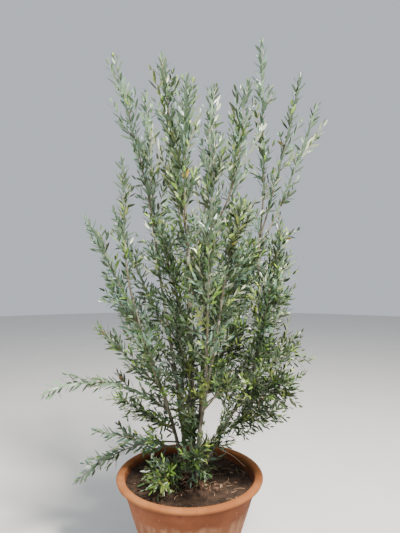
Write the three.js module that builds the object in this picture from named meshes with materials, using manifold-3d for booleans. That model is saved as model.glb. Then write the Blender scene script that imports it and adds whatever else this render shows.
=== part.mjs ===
// A young olive tree with several stems, standing in a terracotta pot.
// Millimetres, +Z up. The origin is the middle of the pot's flat underside, and -Y is the tree's front.
import * as THREE from "three";
import { mergeVertices } from "three/addons/utils/BufferGeometryUtils.js";
import Module from "manifold-3d";

const wasm = await Module();
wasm.setup();

// Sizes that the rest follows from
const POT_HEIGHT = 500;
const RIM_RADIUS = 332;
const RIM_DEPTH = 30;
const MOUTH_RADIUS = 288;
const BODY_TOP_RADIUS = 303;
const BASE_RADIUS = 156;
const BASE_BEVEL = 5;
const WALL = 16;
const POT_FLOOR = 24;
const RIM_ROUND = 14;
const RIM_UNDERCUT = 5;
const RIM_FACETS = 6;
const SOIL_BELOW_RIM = 35;
const SOIL_TOP = POT_HEIGHT - SOIL_BELOW_RIM;

// Touching pieces stand this far apart.
const GAP = 0.3;

// Leaves of the solid tree: larger than life, because each stands for a spray of real ones
const LEAF_LENGTH = 106;
const LEAF_WIDTH = 32;
const LEAF_THICKNESS = 4;
const LEAF_SUNK = 0.5;
const TIP_LEAF_SUNK = 6;
const LEAF_ANGLE = THREE.MathUtils.degToRad(45);
const LEAF_SPACING = 68;
const LEAF_TRIES = 5;

// The stem of a mass of foliage: its radii at root and tip, and the share of it that bears no leaf
const STEM_RADII = [4.6, 2.2];
const STEM_BARE = 0.25;

// Twigs of a mass: one for so many square millimetres of its length by its reach, set between two places
// on its stem, turned by the golden angle. Their angle off the stem narrows towards its tip, by degrees,
// and their length falls from the first to the last share of what the reach allows.
const TWIG_AREA = 13500;
const TWIG_PLACES = [0.12, 0.9];
const TURN = THREE.MathUtils.degToRad(137.5);
const TWIG_ANGLES = [48, 30];
const TWIG_ANGLE_SPREAD = 10;
const TWIG_SHARES = [1.05, 0.5];
const TWIG_LENGTH_SPREAD = [0.8, 1.1];
const TWIG_LIFT = 0.25;
const TWIG_RADII = [2.4, 1.2];
const TWIG_POINT = 6;
const TWIG_BARE = 0.3;
const TWIG_TRIES = 3;
const TRY_SHORTER = 0.72;
const SHORTEST_TWIG = 55;
const BENT_TWIG = 190;

// A twig or leaf keeps these distances to limbs and pot, and to the border of its mass's space
const LIMB_CLEARANCE = 3;
const BORDER_CLEARANCE = 2;

// Root flare of a stem at the soil: it widens by this share, within about this height
const FLARE = 0.7;
const FLARE_HEIGHT = 45;

// Facets: sides of the round pieces, and the length of a straight stretch of limb
const POT_FACETS = 36;
const TRUNK_SIDES = 8;
const LIMB_SIDES = 6;
const TWIG_SIDES = 3;
const LIMB_STRETCH = 120;
const FEWEST_STRETCHES = 3;

// The stems and boughs: what each leaves and how far along, its tip, its radii at root and tip,
// and its curl, which is above 0 where the tip turns up. A stem from the soil has its foot's place instead.
const LIMBS = [
  { name: "trunk", foot: [13, 80], tip: [-10, 50, 1475], radii: [15, 9], curl: 0 },
  { name: "stem_second", foot: [40, 40], tip: [83, 0, 1546], radii: [11, 6], curl: 0 },
  { name: "stem_right", foot: [74, 72], tip: [226, -40, 829], radii: [10, 7], curl: -0.2 },
  { name: "stem_left", foot: [-22, 116], tip: [-180, 138, 1600], radii: [10, 5], curl: 0.1 },
  { name: "stem_front_left", foot: [-34, 60], tip: [-249, -80, 1280], radii: [9, 4.5], curl: 0.1 },
  { name: "stem_front", foot: [22, -2], tip: [134, -240, 1290], radii: [9, 4.5], curl: 0.15 },
  { name: "stem_back", foot: [38, 136], tip: [110, 330, 1524], radii: [10, 5.5], curl: 0.1 },
  { name: "bough_centre", from: "trunk", at: 1, tip: [-20, -20, 1640], radii: [8, 5], curl: 0 },
  { name: "bough_right_fork", from: "trunk", at: 0.93, tip: [60, 105, 1660], radii: [6.5, 5], curl: 0.3 },
  { name: "bough_inner_right", from: "stem_second", at: 1, tip: [150, -60, 1680], radii: [5.5, 5], curl: 0 },
  { name: "bough_right", from: "stem_right", at: 1, tip: [330, 45, 1600], radii: [6.5, 5], curl: 0 },
  { name: "bough_back_left", from: "stem_back", at: 0.7, tip: [-50, 380, 1640], radii: [5.5, 5], curl: 0.3 },
  { name: "bough_back_right", from: "stem_back", at: 1, tip: [190, 400, 1700], radii: [5.3, 5], curl: 0 },
  { name: "bough_front", from: "stem_front", at: 0.5, tip: [74, -270, 1130], radii: [5.5, 5], curl: 0.3 },
];

// The masses of foliage: what each stem leaves and how far along, its furthest tip, its curl,
// and how far the mass's space reaches to every side of its stem.
const MASSES = [
  { name: "plume_far_left", from: "stem_left", at: 1, tip: [-369, 80, 2450], curl: 0, reach: 120 },
  { name: "plume_left_inner", from: "stem_left", at: 0.84, tip: [-245, 300, 2370], curl: 0.2, reach: 125 },
  { name: "plume_left_top", from: "bough_centre", at: 0.5, tip: [-126, -50, 2379], curl: 0.2, reach: 120 },
  { name: "plume_middle", from: "bough_centre", at: 1, tip: [-10, -120, 2255], curl: 0, reach: 115 },
  { name: "plume_middle_back", from: "bough_right_fork", at: 1, tip: [115, 220, 2370], curl: 0, reach: 125 },
  { name: "plume_right_inner", from: "bough_inner_right", at: 1, tip: [257, -120, 2229], curl: 0, reach: 120 },
  { name: "plume_top", from: "bough_right", at: 1, tip: [338, 50, 2491], curl: 0, reach: 115 },
  { name: "plume_right_top", from: "bough_right", at: 0.95, tip: [485, -100, 2256], curl: 0.2, reach: 105 },
  { name: "plume_far_right", from: "bough_right", at: 0.88, tip: [621, 120, 2223], curl: 0.2, reach: 105 },
  { name: "plume_front", from: "bough_front", at: 1, tip: [101, -330, 1960], curl: 0, reach: 115 },
  { name: "plume_back_left", from: "bough_back_left", at: 1, tip: [-116, 470, 2342], curl: 0, reach: 130 },
  { name: "plume_back_right", from: "bough_back_right", at: 1, tip: [277, 500, 2284], curl: 0, reach: 130 },
  { name: "shoot_left", from: "stem_front_left", at: 1, tip: [-298, -100, 1925], curl: 0, reach: 105 },
  { name: "shoot_left_back", from: "stem_left", at: 0.55, tip: [-418, 280, 1768], curl: 0.2, reach: 120 },
  { name: "shoot_arching", from: "stem_front_left", at: 0.8, tip: [-462, -120, 1661], curl: -0.1, reach: 100 },
  { name: "tuft_centre_left", from: "trunk", at: 0.6, tip: [-127, -190, 1640], curl: 0.2, reach: 140 },
  { name: "tuft_centre_front", from: "stem_front", at: 1, tip: [210, -300, 1700], curl: 0, reach: 130 },
  { name: "tuft_centre_right", from: "stem_second", at: 0.6, tip: [290, -160, 1560], curl: 0.2, reach: 140 },
  { name: "tuft_centre", from: "trunk", at: 0.78, tip: [90, 140, 1600], curl: 0.2, reach: 130 },
  { name: "tuft_right_middle", from: "bough_right", at: 0.22, tip: [350, -170, 1400], curl: 0.2, reach: 130 },
  { name: "tuft_right", from: "bough_right", at: 0.35, tip: [430, 0, 1650], curl: 0.2, reach: 125 },
  { name: "tuft_right_back", from: "stem_back", at: 0.5, tip: [400, 330, 1600], curl: 0.2, reach: 150 },
  { name: "tuft_centre_back", from: "stem_back", at: 0.62, tip: [40, 500, 1650], curl: 0.2, reach: 140 },
  { name: "tuft_left_middle", from: "stem_left", at: 0.4, tip: [-300, 200, 1310], curl: 0.1, reach: 135 },
  { name: "clump_right_front", from: "stem_right", at: 0.88, tip: [400, -230, 1000], curl: 0, reach: 150 },
  { name: "clump_right", from: "bough_right", at: 0.1, tip: [514, 60, 1130], curl: 0.1, reach: 140 },
  { name: "clump_right_back", from: "stem_back", at: 0.25, tip: [470, 380, 1050], curl: 0.1, reach: 150 },
  { name: "clump_front", from: "stem_front", at: 0.4, tip: [150, -430, 1040], curl: 0.1, reach: 135 },
  { name: "clump_centre", from: "stem_second", at: 0.32, tip: [240, -200, 1230], curl: 0.2, reach: 125 },
  { name: "clump_centre_left", from: "trunk", at: 0.4, tip: [-70, -150, 1290], curl: 0.3, reach: 120 },
  { name: "clump_centre_back", from: "stem_left", at: 0.22, tip: [-40, 330, 1240], curl: 0.2, reach: 135 },
  { name: "clump_right_low", from: "stem_right", at: 0.62, tip: [410, -50, 800], curl: 0, reach: 115 },
  { name: "clump_left_front", from: "stem_front_left", at: 0.42, tip: [-190, -290, 1180], curl: 0.1, reach: 115 },
  { name: "shoot_left_low", from: "stem_front_left", at: 0.5, tip: [-424, -80, 1192], curl: 0.1, reach: 100 },
  { name: "shoot_long_left", from: "stem_front_left", at: 0.36, tip: [-684, -20, 836], curl: -0.7, reach: 95 },
  { name: "shoot_low_left", from: "stem_front_left", at: 0.14, tip: [-425, -110, 728], curl: 0, reach: 95 },
  { name: "shoot_over_rim", from: "stem_left", at: 0.1, tip: [-585, 190, 345], curl: -0.5, reach: 100 },
  { name: "clump_back_low", from: "stem_back", at: 0.15, tip: [-100, 450, 900], curl: 0.1, reach: 145 },
  { name: "spray_on_soil", from: "stem_front_left", at: 0.04, tip: [-140, -240, 528], curl: -0.2, reach: 110 },
  { name: "clump_foot_right", from: "stem_front", at: 0.1, tip: [170, -130, 800], curl: 0.1, reach: 125 },
  { name: "shoot_by_trunk", from: "trunk", at: 0.1, tip: [-40, -110, 920], curl: 0.3, reach: 105 },
  { name: "clump_foot_front", from: "stem_front", at: 0.03, tip: [20, -200, 680], curl: 0, reach: 120 },
  { name: "shoot_left_middle", from: "stem_front_left", at: 0.68, tip: [-400, 10, 1410], curl: 0, reach: 115 },
  { name: "clump_left_low", from: "stem_front_left", at: 0.25, tip: [-340, -70, 880], curl: 0.1, reach: 110 },
];

// Solids from three.js shapes, whose corners nearer than this are one
const SAME_CORNER = 1e-4;

function solidFrom(shape) {
  shape.deleteAttribute("normal");
  shape.deleteAttribute("uv");
  const merged = mergeVertices(shape, SAME_CORNER);
  const vertProperties = merged.getAttribute("position").array;
  const triVerts = new Uint32Array(merged.index.array);
  return new wasm.Manifold(new wasm.Mesh({ numProp: 3, vertProperties, triVerts }));
}

function shapeFrom(solid) {
  const mesh = solid.getMesh();
  const shape = new THREE.BufferGeometry();
  shape.setAttribute("position", new THREE.BufferAttribute(mesh.vertProperties, 3));
  shape.setIndex(new THREE.BufferAttribute(mesh.triVerts, 1));
  shape.computeVertexNormals();
  return shape;
}

// The largest body of a fused solid: loose scraps and the walls of sealed hollows are left behind.
function mainBody(solid) {
  const bodies = solid.decompose().filter((body) => body.volume() > 0);
  bodies.sort((a, b) => b.volume() - a.volume());
  return bodies[0];
}

// A tapering rod along a curve: a cylinder whose rings are moved onto it. A point above 0 is the length
// of the sharp end it starts with.
function rod(curve, radiusAt, sides, steps, point) {
  const shape = new THREE.CylinderGeometry(1, 1, 1, sides, steps);
  const frames = curve.computeFrenetFrames(steps);
  const places = shape.getAttribute("position");
  const bare = point / curve.getLength();
  const spoke = new THREE.Vector3();
  for (let i = 0; i < places.count; i++) {
    spoke.fromBufferAttribute(places, i);
    const step = Math.round((spoke.y + 0.5) * steps);
    const onAxis = Math.hypot(spoke.x, spoke.z) < SAME_CORNER;
    const along = onAxis ? step / steps : bare + (1 - bare) * (step / steps);
    const radius = onAxis ? 0 : radiusAt(along);
    const angle = Math.atan2(spoke.x, spoke.z);
    const place = curve.getPointAt(along);
    place.addScaledVector(frames.normals[step], radius * Math.cos(angle));
    place.addScaledVector(frames.binormals[step], radius * Math.sin(angle));
    places.setXYZ(i, place.x, place.y, place.z);
  }
  return shape;
}

// A leaf: a slim lozenge with a ridge along one side, six faces in all, whose root lies inside its twig.
const EQUATOR_HALF_WIDTH = Math.sin(Math.PI / 3);
const EQUATOR_DEPTH = 1 + Math.cos(Math.PI / 3);

function leaf(root, along, facing) {
  const side = new THREE.Vector3().crossVectors(along, facing).normalize();
  const up = new THREE.Vector3().crossVectors(side, along).normalize();
  const middle = root.clone().addScaledVector(along, LEAF_LENGTH / 2);
  up.multiplyScalar(-LEAF_THICKNESS / EQUATOR_DEPTH);
  side.multiplyScalar(LEAF_WIDTH / 2 / EQUATOR_HALF_WIDTH);
  const length = along.clone().multiplyScalar(LEAF_LENGTH / 2);
  const placing = new THREE.Matrix4().makeBasis(up, length, side).setPosition(middle);
  return new THREE.SphereGeometry(1, 3, 2).applyMatrix4(placing);
}

// A path that leaves its start one way and comes to its end another
const UP = new THREE.Vector3(0, 0, 1);
const PULL = 0.35;

function bentPath(start, end, startWay, endWay) {
  const pull = start.distanceTo(end) * PULL;
  const second = start.clone().addScaledVector(startWay, pull);
  const third = end.clone().addScaledVector(endWay, -pull);
  return new THREE.CubicBezierCurve3(start, second, third, end);
}

// The path of a limb or of a mass's own stem: from the soil, from a parent's tip or out of its side.
function pathOf(limb, parent, tipLeft) {
  const tip = new THREE.Vector3(...limb.tip);
  let start;
  if (!parent) {
    start = new THREE.Vector3(...limb.foot, SOIL_TOP + GAP);
  } else if (limb.at === 1) {
    start = parent.path.getPointAt(1).addScaledVector(parent.path.getTangentAt(1), GAP);
  } else {
    start = parent.path.getPointAt(limb.at);
  }
  const straight = tip.clone().sub(start).normalize();
  const endWay = straight.clone().addScaledVector(UP, limb.curl).normalize();
  const end = tip.addScaledVector(endWay, -tipLeft);
  let startWay = straight.clone().addScaledVector(UP, -limb.curl).normalize();
  if (!parent) startWay = straight.clone().add(UP).normalize();
  if (limb.at === 1) startWay = parent.path.getTangentAt(1);
  return bentPath(start, end, startWay, endWay);
}

function stretchesOf(limb) {
  return Math.max(FEWEST_STRETCHES, Math.round(limb.length / LIMB_STRETCH));
}

// Places along a path, for measuring distances to it
const PATH_STEPS = 24;

function measured(limb) {
  limb.length = limb.path.getLength();
  limb.places = limb.path.getSpacedPoints(PATH_STEPS);
  return limb;
}

function distanceTo(limb, point) {
  let nearest = Infinity;
  const segment = new THREE.Line3();
  const foot = new THREE.Vector3();
  for (let i = 1; i < limb.places.length; i++) {
    segment.set(limb.places[i - 1], limb.places[i]);
    segment.closestPointToPoint(point, true, foot);
    nearest = Math.min(nearest, foot.distanceTo(point));
  }
  return nearest;
}

// Limbs: stems with a root flare and a flat cut on the soil, and boughs
const limbs = new Map();
for (const limb of LIMBS) {
  limb.path = pathOf(limb, limbs.get(limb.from), 0);
  limbs.set(limb.name, measured(limb));
}

function limbRadius(limb, along) {
  const [root, tip] = limb.radii;
  const plain = root + (tip - root) * along;
  const flare = limb.foot ? FLARE * Math.exp((-along * limb.length) / FLARE_HEIGHT) : 0;
  return plain * (1 + flare);
}

// The limb's solid, or with extra above 0 the same made thicker, to cut its children clear of it.
function limbSolid(limb, extra) {
  const sides = limb.name === "trunk" ? TRUNK_SIDES : LIMB_SIDES;
  const steps = stretchesOf(limb) + 1;
  const thicker = extra / Math.cos(Math.PI / sides);
  const radiusAt = (along) => limbRadius(limb, along) + thicker;
  return solidFrom(rod(limb.path, radiusAt, sides, steps, 0));
}

function slabBelow(height) {
  const slab = new THREE.BoxGeometry(2 * RIM_RADIUS, 2 * RIM_RADIUS, POT_HEIGHT);
  return solidFrom(slab.translate(0, 0, height - POT_HEIGHT / 2));
}

function limbBody(limb) {
  let body = limbSolid(limb, 0);
  if (limb.foot) body = body.subtract(slabBelow(SOIL_TOP + GAP));
  if (limb.from && limb.at < 1) body = body.subtract(limbSolid(limbs.get(limb.from), GAP));
  return mainBody(body);
}

// Masses: each grows in its own space by a seeded rule. The space goes on past the stem's end to the
// furthest tip, where the last leaf lies.
for (const mass of MASSES) {
  mass.path = pathOf(mass, limbs.get(mass.from), LEAF_LENGTH - LEAF_SUNK);
  measured(mass).places.push(new THREE.Vector3(...mass.tip));
}

// The limbs made thicker by the gap, to keep leaves off them
const thickLimbs = [...limbs.values()].map((limb) => limbSolid(limb, GAP));

const SEED = 7919;

function seeded(seed) {
  let state = seed;
  return () => {
    state = (state * 16807) % 2147483647;
    return state / 2147483647;
  };
}

// The pot's inner wall at a height
function mouthAt(height) {
  const slope = (BODY_TOP_RADIUS - BASE_RADIUS) / (POT_HEIGHT - RIM_DEPTH);
  return BASE_RADIUS + slope * height - WALL;
}

function clearOfPot(point) {
  const radius = Math.hypot(point.x, point.y);
  const aboveRim = point.z > POT_HEIGHT + LIMB_CLEARANCE;
  const beside = radius > RIM_RADIUS + LIMB_CLEARANCE;
  const inMouth = radius < mouthAt(SOIL_TOP) - LIMB_CLEARANCE && point.z > SOIL_TOP + LIMB_CLEARANCE;
  return aboveRim || beside || inMouth;
}

function clearOfLimbs(point) {
  for (const limb of limbs.values()) {
    const thickest = limb.radii[0] * (1 + (limb.foot ? FLARE : 0));
    const distance = distanceTo(limb, point);
    if (distance > thickest + LIMB_CLEARANCE) continue;
    const height = (point.z - limb.places[0].z) / (limb.places[PATH_STEPS].z - limb.places[0].z);
    const along = THREE.MathUtils.clamp(height, 0, 1);
    if (distance < limbRadius(limb, along) + LIMB_CLEARANCE) return false;
  }
  return true;
}

// Inside the mass's space: within its reach, and nearer to its stem than to another's, each by its reach.
function inSpace(mass, point) {
  const own = (distanceTo(mass, point) + BORDER_CLEARANCE) / mass.reach;
  if (own > 1) return false;
  for (const other of MASSES) {
    if (other === mass) continue;
    if ((distanceTo(other, point) - BORDER_CLEARANCE) / other.reach < own) return false;
  }
  return true;
}

function fits(mass, points) {
  return points.every((p) => clearOfPot(p) && inSpace(mass, p) && clearOfLimbs(p));
}

// A direction at an angle off another, turned about it. Above this share of upright, it turns from +X.
const UPRIGHT = 0.99;

function offAxis(axis, angle, turn) {
  const level = new THREE.Vector3(-axis.y, axis.x, 0);
  const aside = Math.abs(axis.z) < UPRIGHT ? level : new THREE.Vector3(1, 0, 0);
  aside.normalize().applyAxisAngle(axis, turn);
  return axis.clone().multiplyScalar(Math.cos(angle)).addScaledVector(aside, Math.sin(angle));
}

// The straight stretches of a rod along a curve: a place on them and the way they run there
function stretch(path, steps, along) {
  const first = Math.min(steps - 1, Math.floor(along * steps));
  const from = path.getPointAt(first / steps);
  const to = path.getPointAt((first + 1) / steps);
  const way = to.clone().sub(from).normalize();
  return { place: from.lerp(to, along * steps - first), way };
}

const TWIG_TESTS = 8;

// A twig is tried at full length, then shorter, and left out where none of them fits.
function fittedTwig(mass, place, startWay, full) {
  const endWay = startWay.clone().addScaledVector(UP, TWIG_LIFT).normalize();
  let length = full;
  for (let attempt = 0; attempt < TWIG_TRIES && length > SHORTEST_TWIG; attempt++) {
    const end = place.clone().addScaledVector(startWay, length / 2).addScaledVector(endWay, length / 2);
    const path = bentPath(place, end, startWay, endWay);
    if (fits(mass, path.getSpacedPoints(TWIG_TESTS).slice(1))) {
      return { path, length, steps: length < BENT_TWIG ? 1 : 2, bare: TWIG_BARE };
    }
    length *= TRY_SHORTER;
  }
  return null;
}

// Twigs leave the stem one by one, long below and short towards the tip.
function twigsOf(mass, random) {
  const { mapLinear, lerp, degToRad } = THREE.MathUtils;
  const twigs = [];
  const count = Math.round((mass.length * mass.reach) / TWIG_AREA);
  for (let k = 0; k < count; k++) {
    const along = mapLinear(k + 0.5, 0, count, ...TWIG_PLACES);
    const angle = degToRad(lerp(...TWIG_ANGLES, along) + TWIG_ANGLE_SPREAD * (random() - 0.5));
    const turn = k * TURN + random();
    const allowed = (mass.reach - TWIG_BARE * LEAF_LENGTH) / Math.sin(angle);
    const full = allowed * lerp(...TWIG_SHARES, along) * lerp(...TWIG_LENGTH_SPREAD, random());
    const { place, way } = stretch(mass.path, stretchesOf(mass), along);
    const twig = fittedTwig(mass, place, offAxis(way, angle, turn), full);
    if (twig) twigs.push(twig);
  }
  return twigs;
}

// Points all over a leaf, to test whether it fits
const LEAF_TESTS = 9;

function leafPoints(root, along, facing) {
  const side = new THREE.Vector3().crossVectors(along, facing).normalize();
  const points = [];
  for (let k = 2; k <= LEAF_TESTS; k++) {
    points.push(root.clone().addScaledVector(along, (LEAF_LENGTH * k) / LEAF_TESTS));
  }
  for (const half of [-LEAF_WIDTH / 2, LEAF_WIDTH / 2]) {
    points.push(root.clone().addScaledVector(along, LEAF_LENGTH / 2).addScaledVector(side, half));
  }
  return points;
}

function crosses(solid, others) {
  return others.some((other) => !other.intersect(solid).isEmpty());
}

// A leaf at a place on a shoot, or none where every turn leaves the space or crosses what is there.
function leafAt(mass, shoot, along, turn, obstacles, random) {
  const { place, way } = stretch(shoot.path, shoot.steps, along);
  const atTip = along === 1;
  for (let attempt = 0; attempt < LEAF_TRIES; attempt++) {
    const heading = atTip ? way : offAxis(way, LEAF_ANGLE, turn + attempt * TURN);
    const facing = offAxis(heading, Math.PI / 2, 2 * Math.PI * random());
    const root = place.clone().addScaledVector(heading, atTip ? -TIP_LEAF_SUNK : -LEAF_SUNK);
    if (!fits(mass, leafPoints(root, heading, facing))) continue;
    const solid = solidFrom(leaf(root, heading, facing));
    if (!crosses(solid, obstacles) && !crosses(solid, thickLimbs)) return solid;
  }
  return null;
}

// Leaves on every shoot from its bare part to its end, turned by the golden angle, with one at the tip
function leavesOn(mass, shoots, wood, random) {
  const leaves = [];
  shoots.forEach((shoot, index) => {
    const otherWood = wood.filter((_, other) => other !== index);
    const count = Math.max(1, Math.round((shoot.length * (1 - shoot.bare)) / LEAF_SPACING));
    const firstTurn = 2 * Math.PI * random();
    for (let k = count; k >= 0; k--) {
      const along = shoot.bare + ((1 - shoot.bare) * k) / count;
      const found = leafAt(mass, shoot, along, firstTurn + k * TURN, [...otherWood, ...leaves], random);
      if (found) leaves.push(found);
    }
  });
  return leaves;
}

function tapering([root, tip]) {
  return (along) => root + (tip - root) * along;
}

function massBody(mass, number) {
  const random = seeded(SEED * (number + 1));
  const stem = { path: mass.path, length: mass.length, steps: stretchesOf(mass), bare: STEM_BARE };
  const twigs = twigsOf(mass, random);
  const shoots = [stem, ...twigs];
  const wood = shoots.map((shoot) => {
    const radii = shoot === stem ? STEM_RADII : TWIG_RADII;
    const point = shoot === stem ? 0 : TWIG_POINT;
    return solidFrom(rod(shoot.path, tapering(radii), TWIG_SIDES, shoot.steps, point));
  });
  const leaves = leavesOn(mass, shoots, wood, random);
  let body = [...wood, ...leaves].reduce((fused, piece) => fused.add(piece));
  if (mass.at < 1) body = body.subtract(limbSolid(limbs.get(mass.from), GAP));
  return { body: mainBody(body), twigs: twigs.length, leaves: leaves.length };
}

// Pot: a plain cone of a body under a rounded rim, open at the top
function potShape() {
  const bodyTop = POT_HEIGHT - RIM_DEPTH;
  const rimHalf = (RIM_RADIUS - MOUTH_RADIUS) / 2;
  const round = new THREE.EllipseCurve(
    RIM_RADIUS - rimHalf, POT_HEIGHT - RIM_ROUND, rimHalf, RIM_ROUND, 0, Math.PI);
  const profile = [
    new THREE.Vector2(0, 0),
    new THREE.Vector2(BASE_RADIUS - BASE_BEVEL, 0),
    new THREE.Vector2(BASE_RADIUS, BASE_BEVEL),
    new THREE.Vector2(BODY_TOP_RADIUS, bodyTop),
    new THREE.Vector2(RIM_RADIUS - RIM_UNDERCUT, bodyTop),
    ...round.getPoints(RIM_FACETS),
    new THREE.Vector2(mouthAt(bodyTop), bodyTop),
    new THREE.Vector2(mouthAt(POT_FLOOR), POT_FLOOR),
    new THREE.Vector2(0, POT_FLOOR),
  ];
  return new THREE.LatheGeometry(profile, POT_FACETS).rotateX(Math.PI / 2);
}

// Soil: fills the pot to a little below the rim
function soilShape() {
  const bottom = POT_FLOOR + GAP;
  const profile = [
    new THREE.Vector2(0, bottom),
    new THREE.Vector2(mouthAt(POT_FLOOR) - 2 * GAP, bottom),
    new THREE.Vector2(mouthAt(SOIL_TOP) - 2 * GAP, SOIL_TOP),
    new THREE.Vector2(0, SOIL_TOP),
  ];
  return new THREE.LatheGeometry(profile, POT_FACETS).rotateX(Math.PI / 2);
}

// Materials
const terracotta = new THREE.MeshStandardMaterial({ color: 0xb9774e, roughness: 0.9, metalness: 0 });
const earth = new THREE.MeshStandardMaterial({ color: 0x4a3a30, roughness: 1, metalness: 0 });
const bark = new THREE.MeshStandardMaterial({ color: 0x9c9384, roughness: 0.85, metalness: 0 });
const foliage = new THREE.MeshStandardMaterial({ color: 0x66774f, roughness: 0.6, metalness: 0 });

function placed(name, solid, material, origin) {
  const shape = shapeFrom(solid);
  shape.translate(-origin.x, -origin.y, -origin.z);
  const mesh = new THREE.Mesh(shape, material);
  mesh.name = name;
  mesh.position.copy(origin);
  return mesh;
}

const pottedTree = new THREE.Group();
const potGroup = new THREE.Group();
const treeGroup = new THREE.Group();
pottedTree.add(potGroup, treeGroup);

const ORIGIN = new THREE.Vector3();
potGroup.add(placed("pot", solidFrom(potShape()), terracotta, ORIGIN));
potGroup.add(placed("soil", solidFrom(soilShape()), earth, ORIGIN));
for (const limb of limbs.values()) {
  treeGroup.add(placed(limb.name, limbBody(limb), bark, limb.places[0]));
}
MASSES.forEach((mass, number) => {
  const { body, twigs, leaves } = massBody(mass, number);
  const mesh = placed("foliage_" + mass.name, body, foliage, mass.places[0]);
  mesh.userData = { twigs, leaves };
  treeGroup.add(mesh);
});

export default pottedTree;
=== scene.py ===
# %% [markdown]
# # A young olive tree in a terracotta pot
#
# The solid model already holds the real sizes: a pot, its soil, seven stems from one foot, seven boughs and
# forty-four masses of foliage, each mass one coarse solid. This lesson dresses it: bark with relief in
# place of the faceted limbs, fine twigs in place of the masses, and some eighteen thousand leaves of about
# the size of real olive leaves. Every length is in metres, and the origin is the middle of the pot's
# underside.

# %% Load the solid model
import math

import bmesh
import bpy
import numpy as np
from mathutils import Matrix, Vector, noise


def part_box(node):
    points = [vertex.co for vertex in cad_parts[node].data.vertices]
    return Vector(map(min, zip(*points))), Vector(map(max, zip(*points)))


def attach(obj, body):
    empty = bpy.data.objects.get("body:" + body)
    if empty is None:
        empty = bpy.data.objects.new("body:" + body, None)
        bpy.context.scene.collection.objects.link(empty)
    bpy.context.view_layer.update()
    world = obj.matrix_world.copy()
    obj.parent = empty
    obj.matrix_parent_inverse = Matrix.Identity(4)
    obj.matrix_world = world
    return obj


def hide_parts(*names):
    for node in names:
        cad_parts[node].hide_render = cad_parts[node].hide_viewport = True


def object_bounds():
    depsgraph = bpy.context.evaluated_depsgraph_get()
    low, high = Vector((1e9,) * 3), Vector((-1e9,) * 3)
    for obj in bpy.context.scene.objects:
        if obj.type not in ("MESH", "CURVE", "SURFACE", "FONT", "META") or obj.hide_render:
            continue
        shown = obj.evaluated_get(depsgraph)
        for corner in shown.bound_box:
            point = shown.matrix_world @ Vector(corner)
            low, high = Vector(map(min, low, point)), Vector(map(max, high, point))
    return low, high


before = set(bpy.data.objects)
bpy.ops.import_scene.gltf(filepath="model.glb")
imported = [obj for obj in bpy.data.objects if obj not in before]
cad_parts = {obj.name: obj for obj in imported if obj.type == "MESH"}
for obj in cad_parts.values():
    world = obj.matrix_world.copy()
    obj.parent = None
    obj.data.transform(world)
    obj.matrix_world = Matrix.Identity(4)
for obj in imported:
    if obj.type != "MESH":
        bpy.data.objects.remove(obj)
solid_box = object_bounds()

print("solid nodes:", len(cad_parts), "box:", [list(map(float, corner)) for corner in solid_box])

# %% [markdown]
# ## From arrays of numbers to a mesh
#
# A tree has too many corners to place one by one. Each piece is worked out as arrays of points and faces
# and handed to Blender in one go, which stays quick with hundreds of thousands of faces.

# %% A piece from arrays
MM = 0.001


def new_piece(name, points, faces, materials, face_slots=None, smooth=True):
    """A mesh object from an array of points and a list of face arrays, each of one number of corners."""
    mesh = bpy.data.meshes.new(name)
    corners = np.concatenate([f.ravel() for f in faces]).astype(np.int32)
    sizes = np.concatenate([np.full(len(f), f.shape[1]) for f in faces])
    mesh.vertices.add(len(points))
    mesh.vertices.foreach_set("co", np.asarray(points, np.float32).ravel())
    mesh.loops.add(len(corners))
    mesh.loops.foreach_set("vertex_index", corners)
    mesh.polygons.add(len(sizes))
    starts = np.concatenate([[0], np.cumsum(sizes)[:-1]]).astype(np.int32)
    mesh.polygons.foreach_set("loop_start", starts)
    for material in materials:
        mesh.materials.append(material)
    if face_slots is not None:
        mesh.polygons.foreach_set("material_index", np.asarray(face_slots, np.int32))
    mesh.polygons.foreach_set("use_smooth", np.full(len(sizes), smooth))
    mesh.update(calc_edges=True)
    mesh.validate()
    piece = bpy.data.objects.new(name, mesh)
    bpy.context.scene.collection.objects.link(piece)
    print(name, "-", len(points), "points,", len(sizes), "faces")
    return piece


def on_frame(piece, slot, *nodes):
    """The piece rides on the one body and stands for these solid nodes. The slot is not used."""
    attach(piece, "root")
    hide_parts(*nodes)


# %% [markdown]
# ## Finishes from nodes
#
# Clay, soil and bark change from place to place, so their colour is worked out by nodes from the place on
# the object. The same few steps come back in every finish: noise, a blend between colours, and a bump. A
# small class gives each step one short call.

# %% A helper for finishes
def linear(red, green, blue):
    """A colour picked as 0 to 255 values, as the linear values that a shader takes."""
    shares = (red / 255, green / 255, blue / 255)
    return tuple(((share + 0.055) / 1.055) ** 2.4 if share > 0.04 else share / 12.92 for share in shares)


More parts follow.
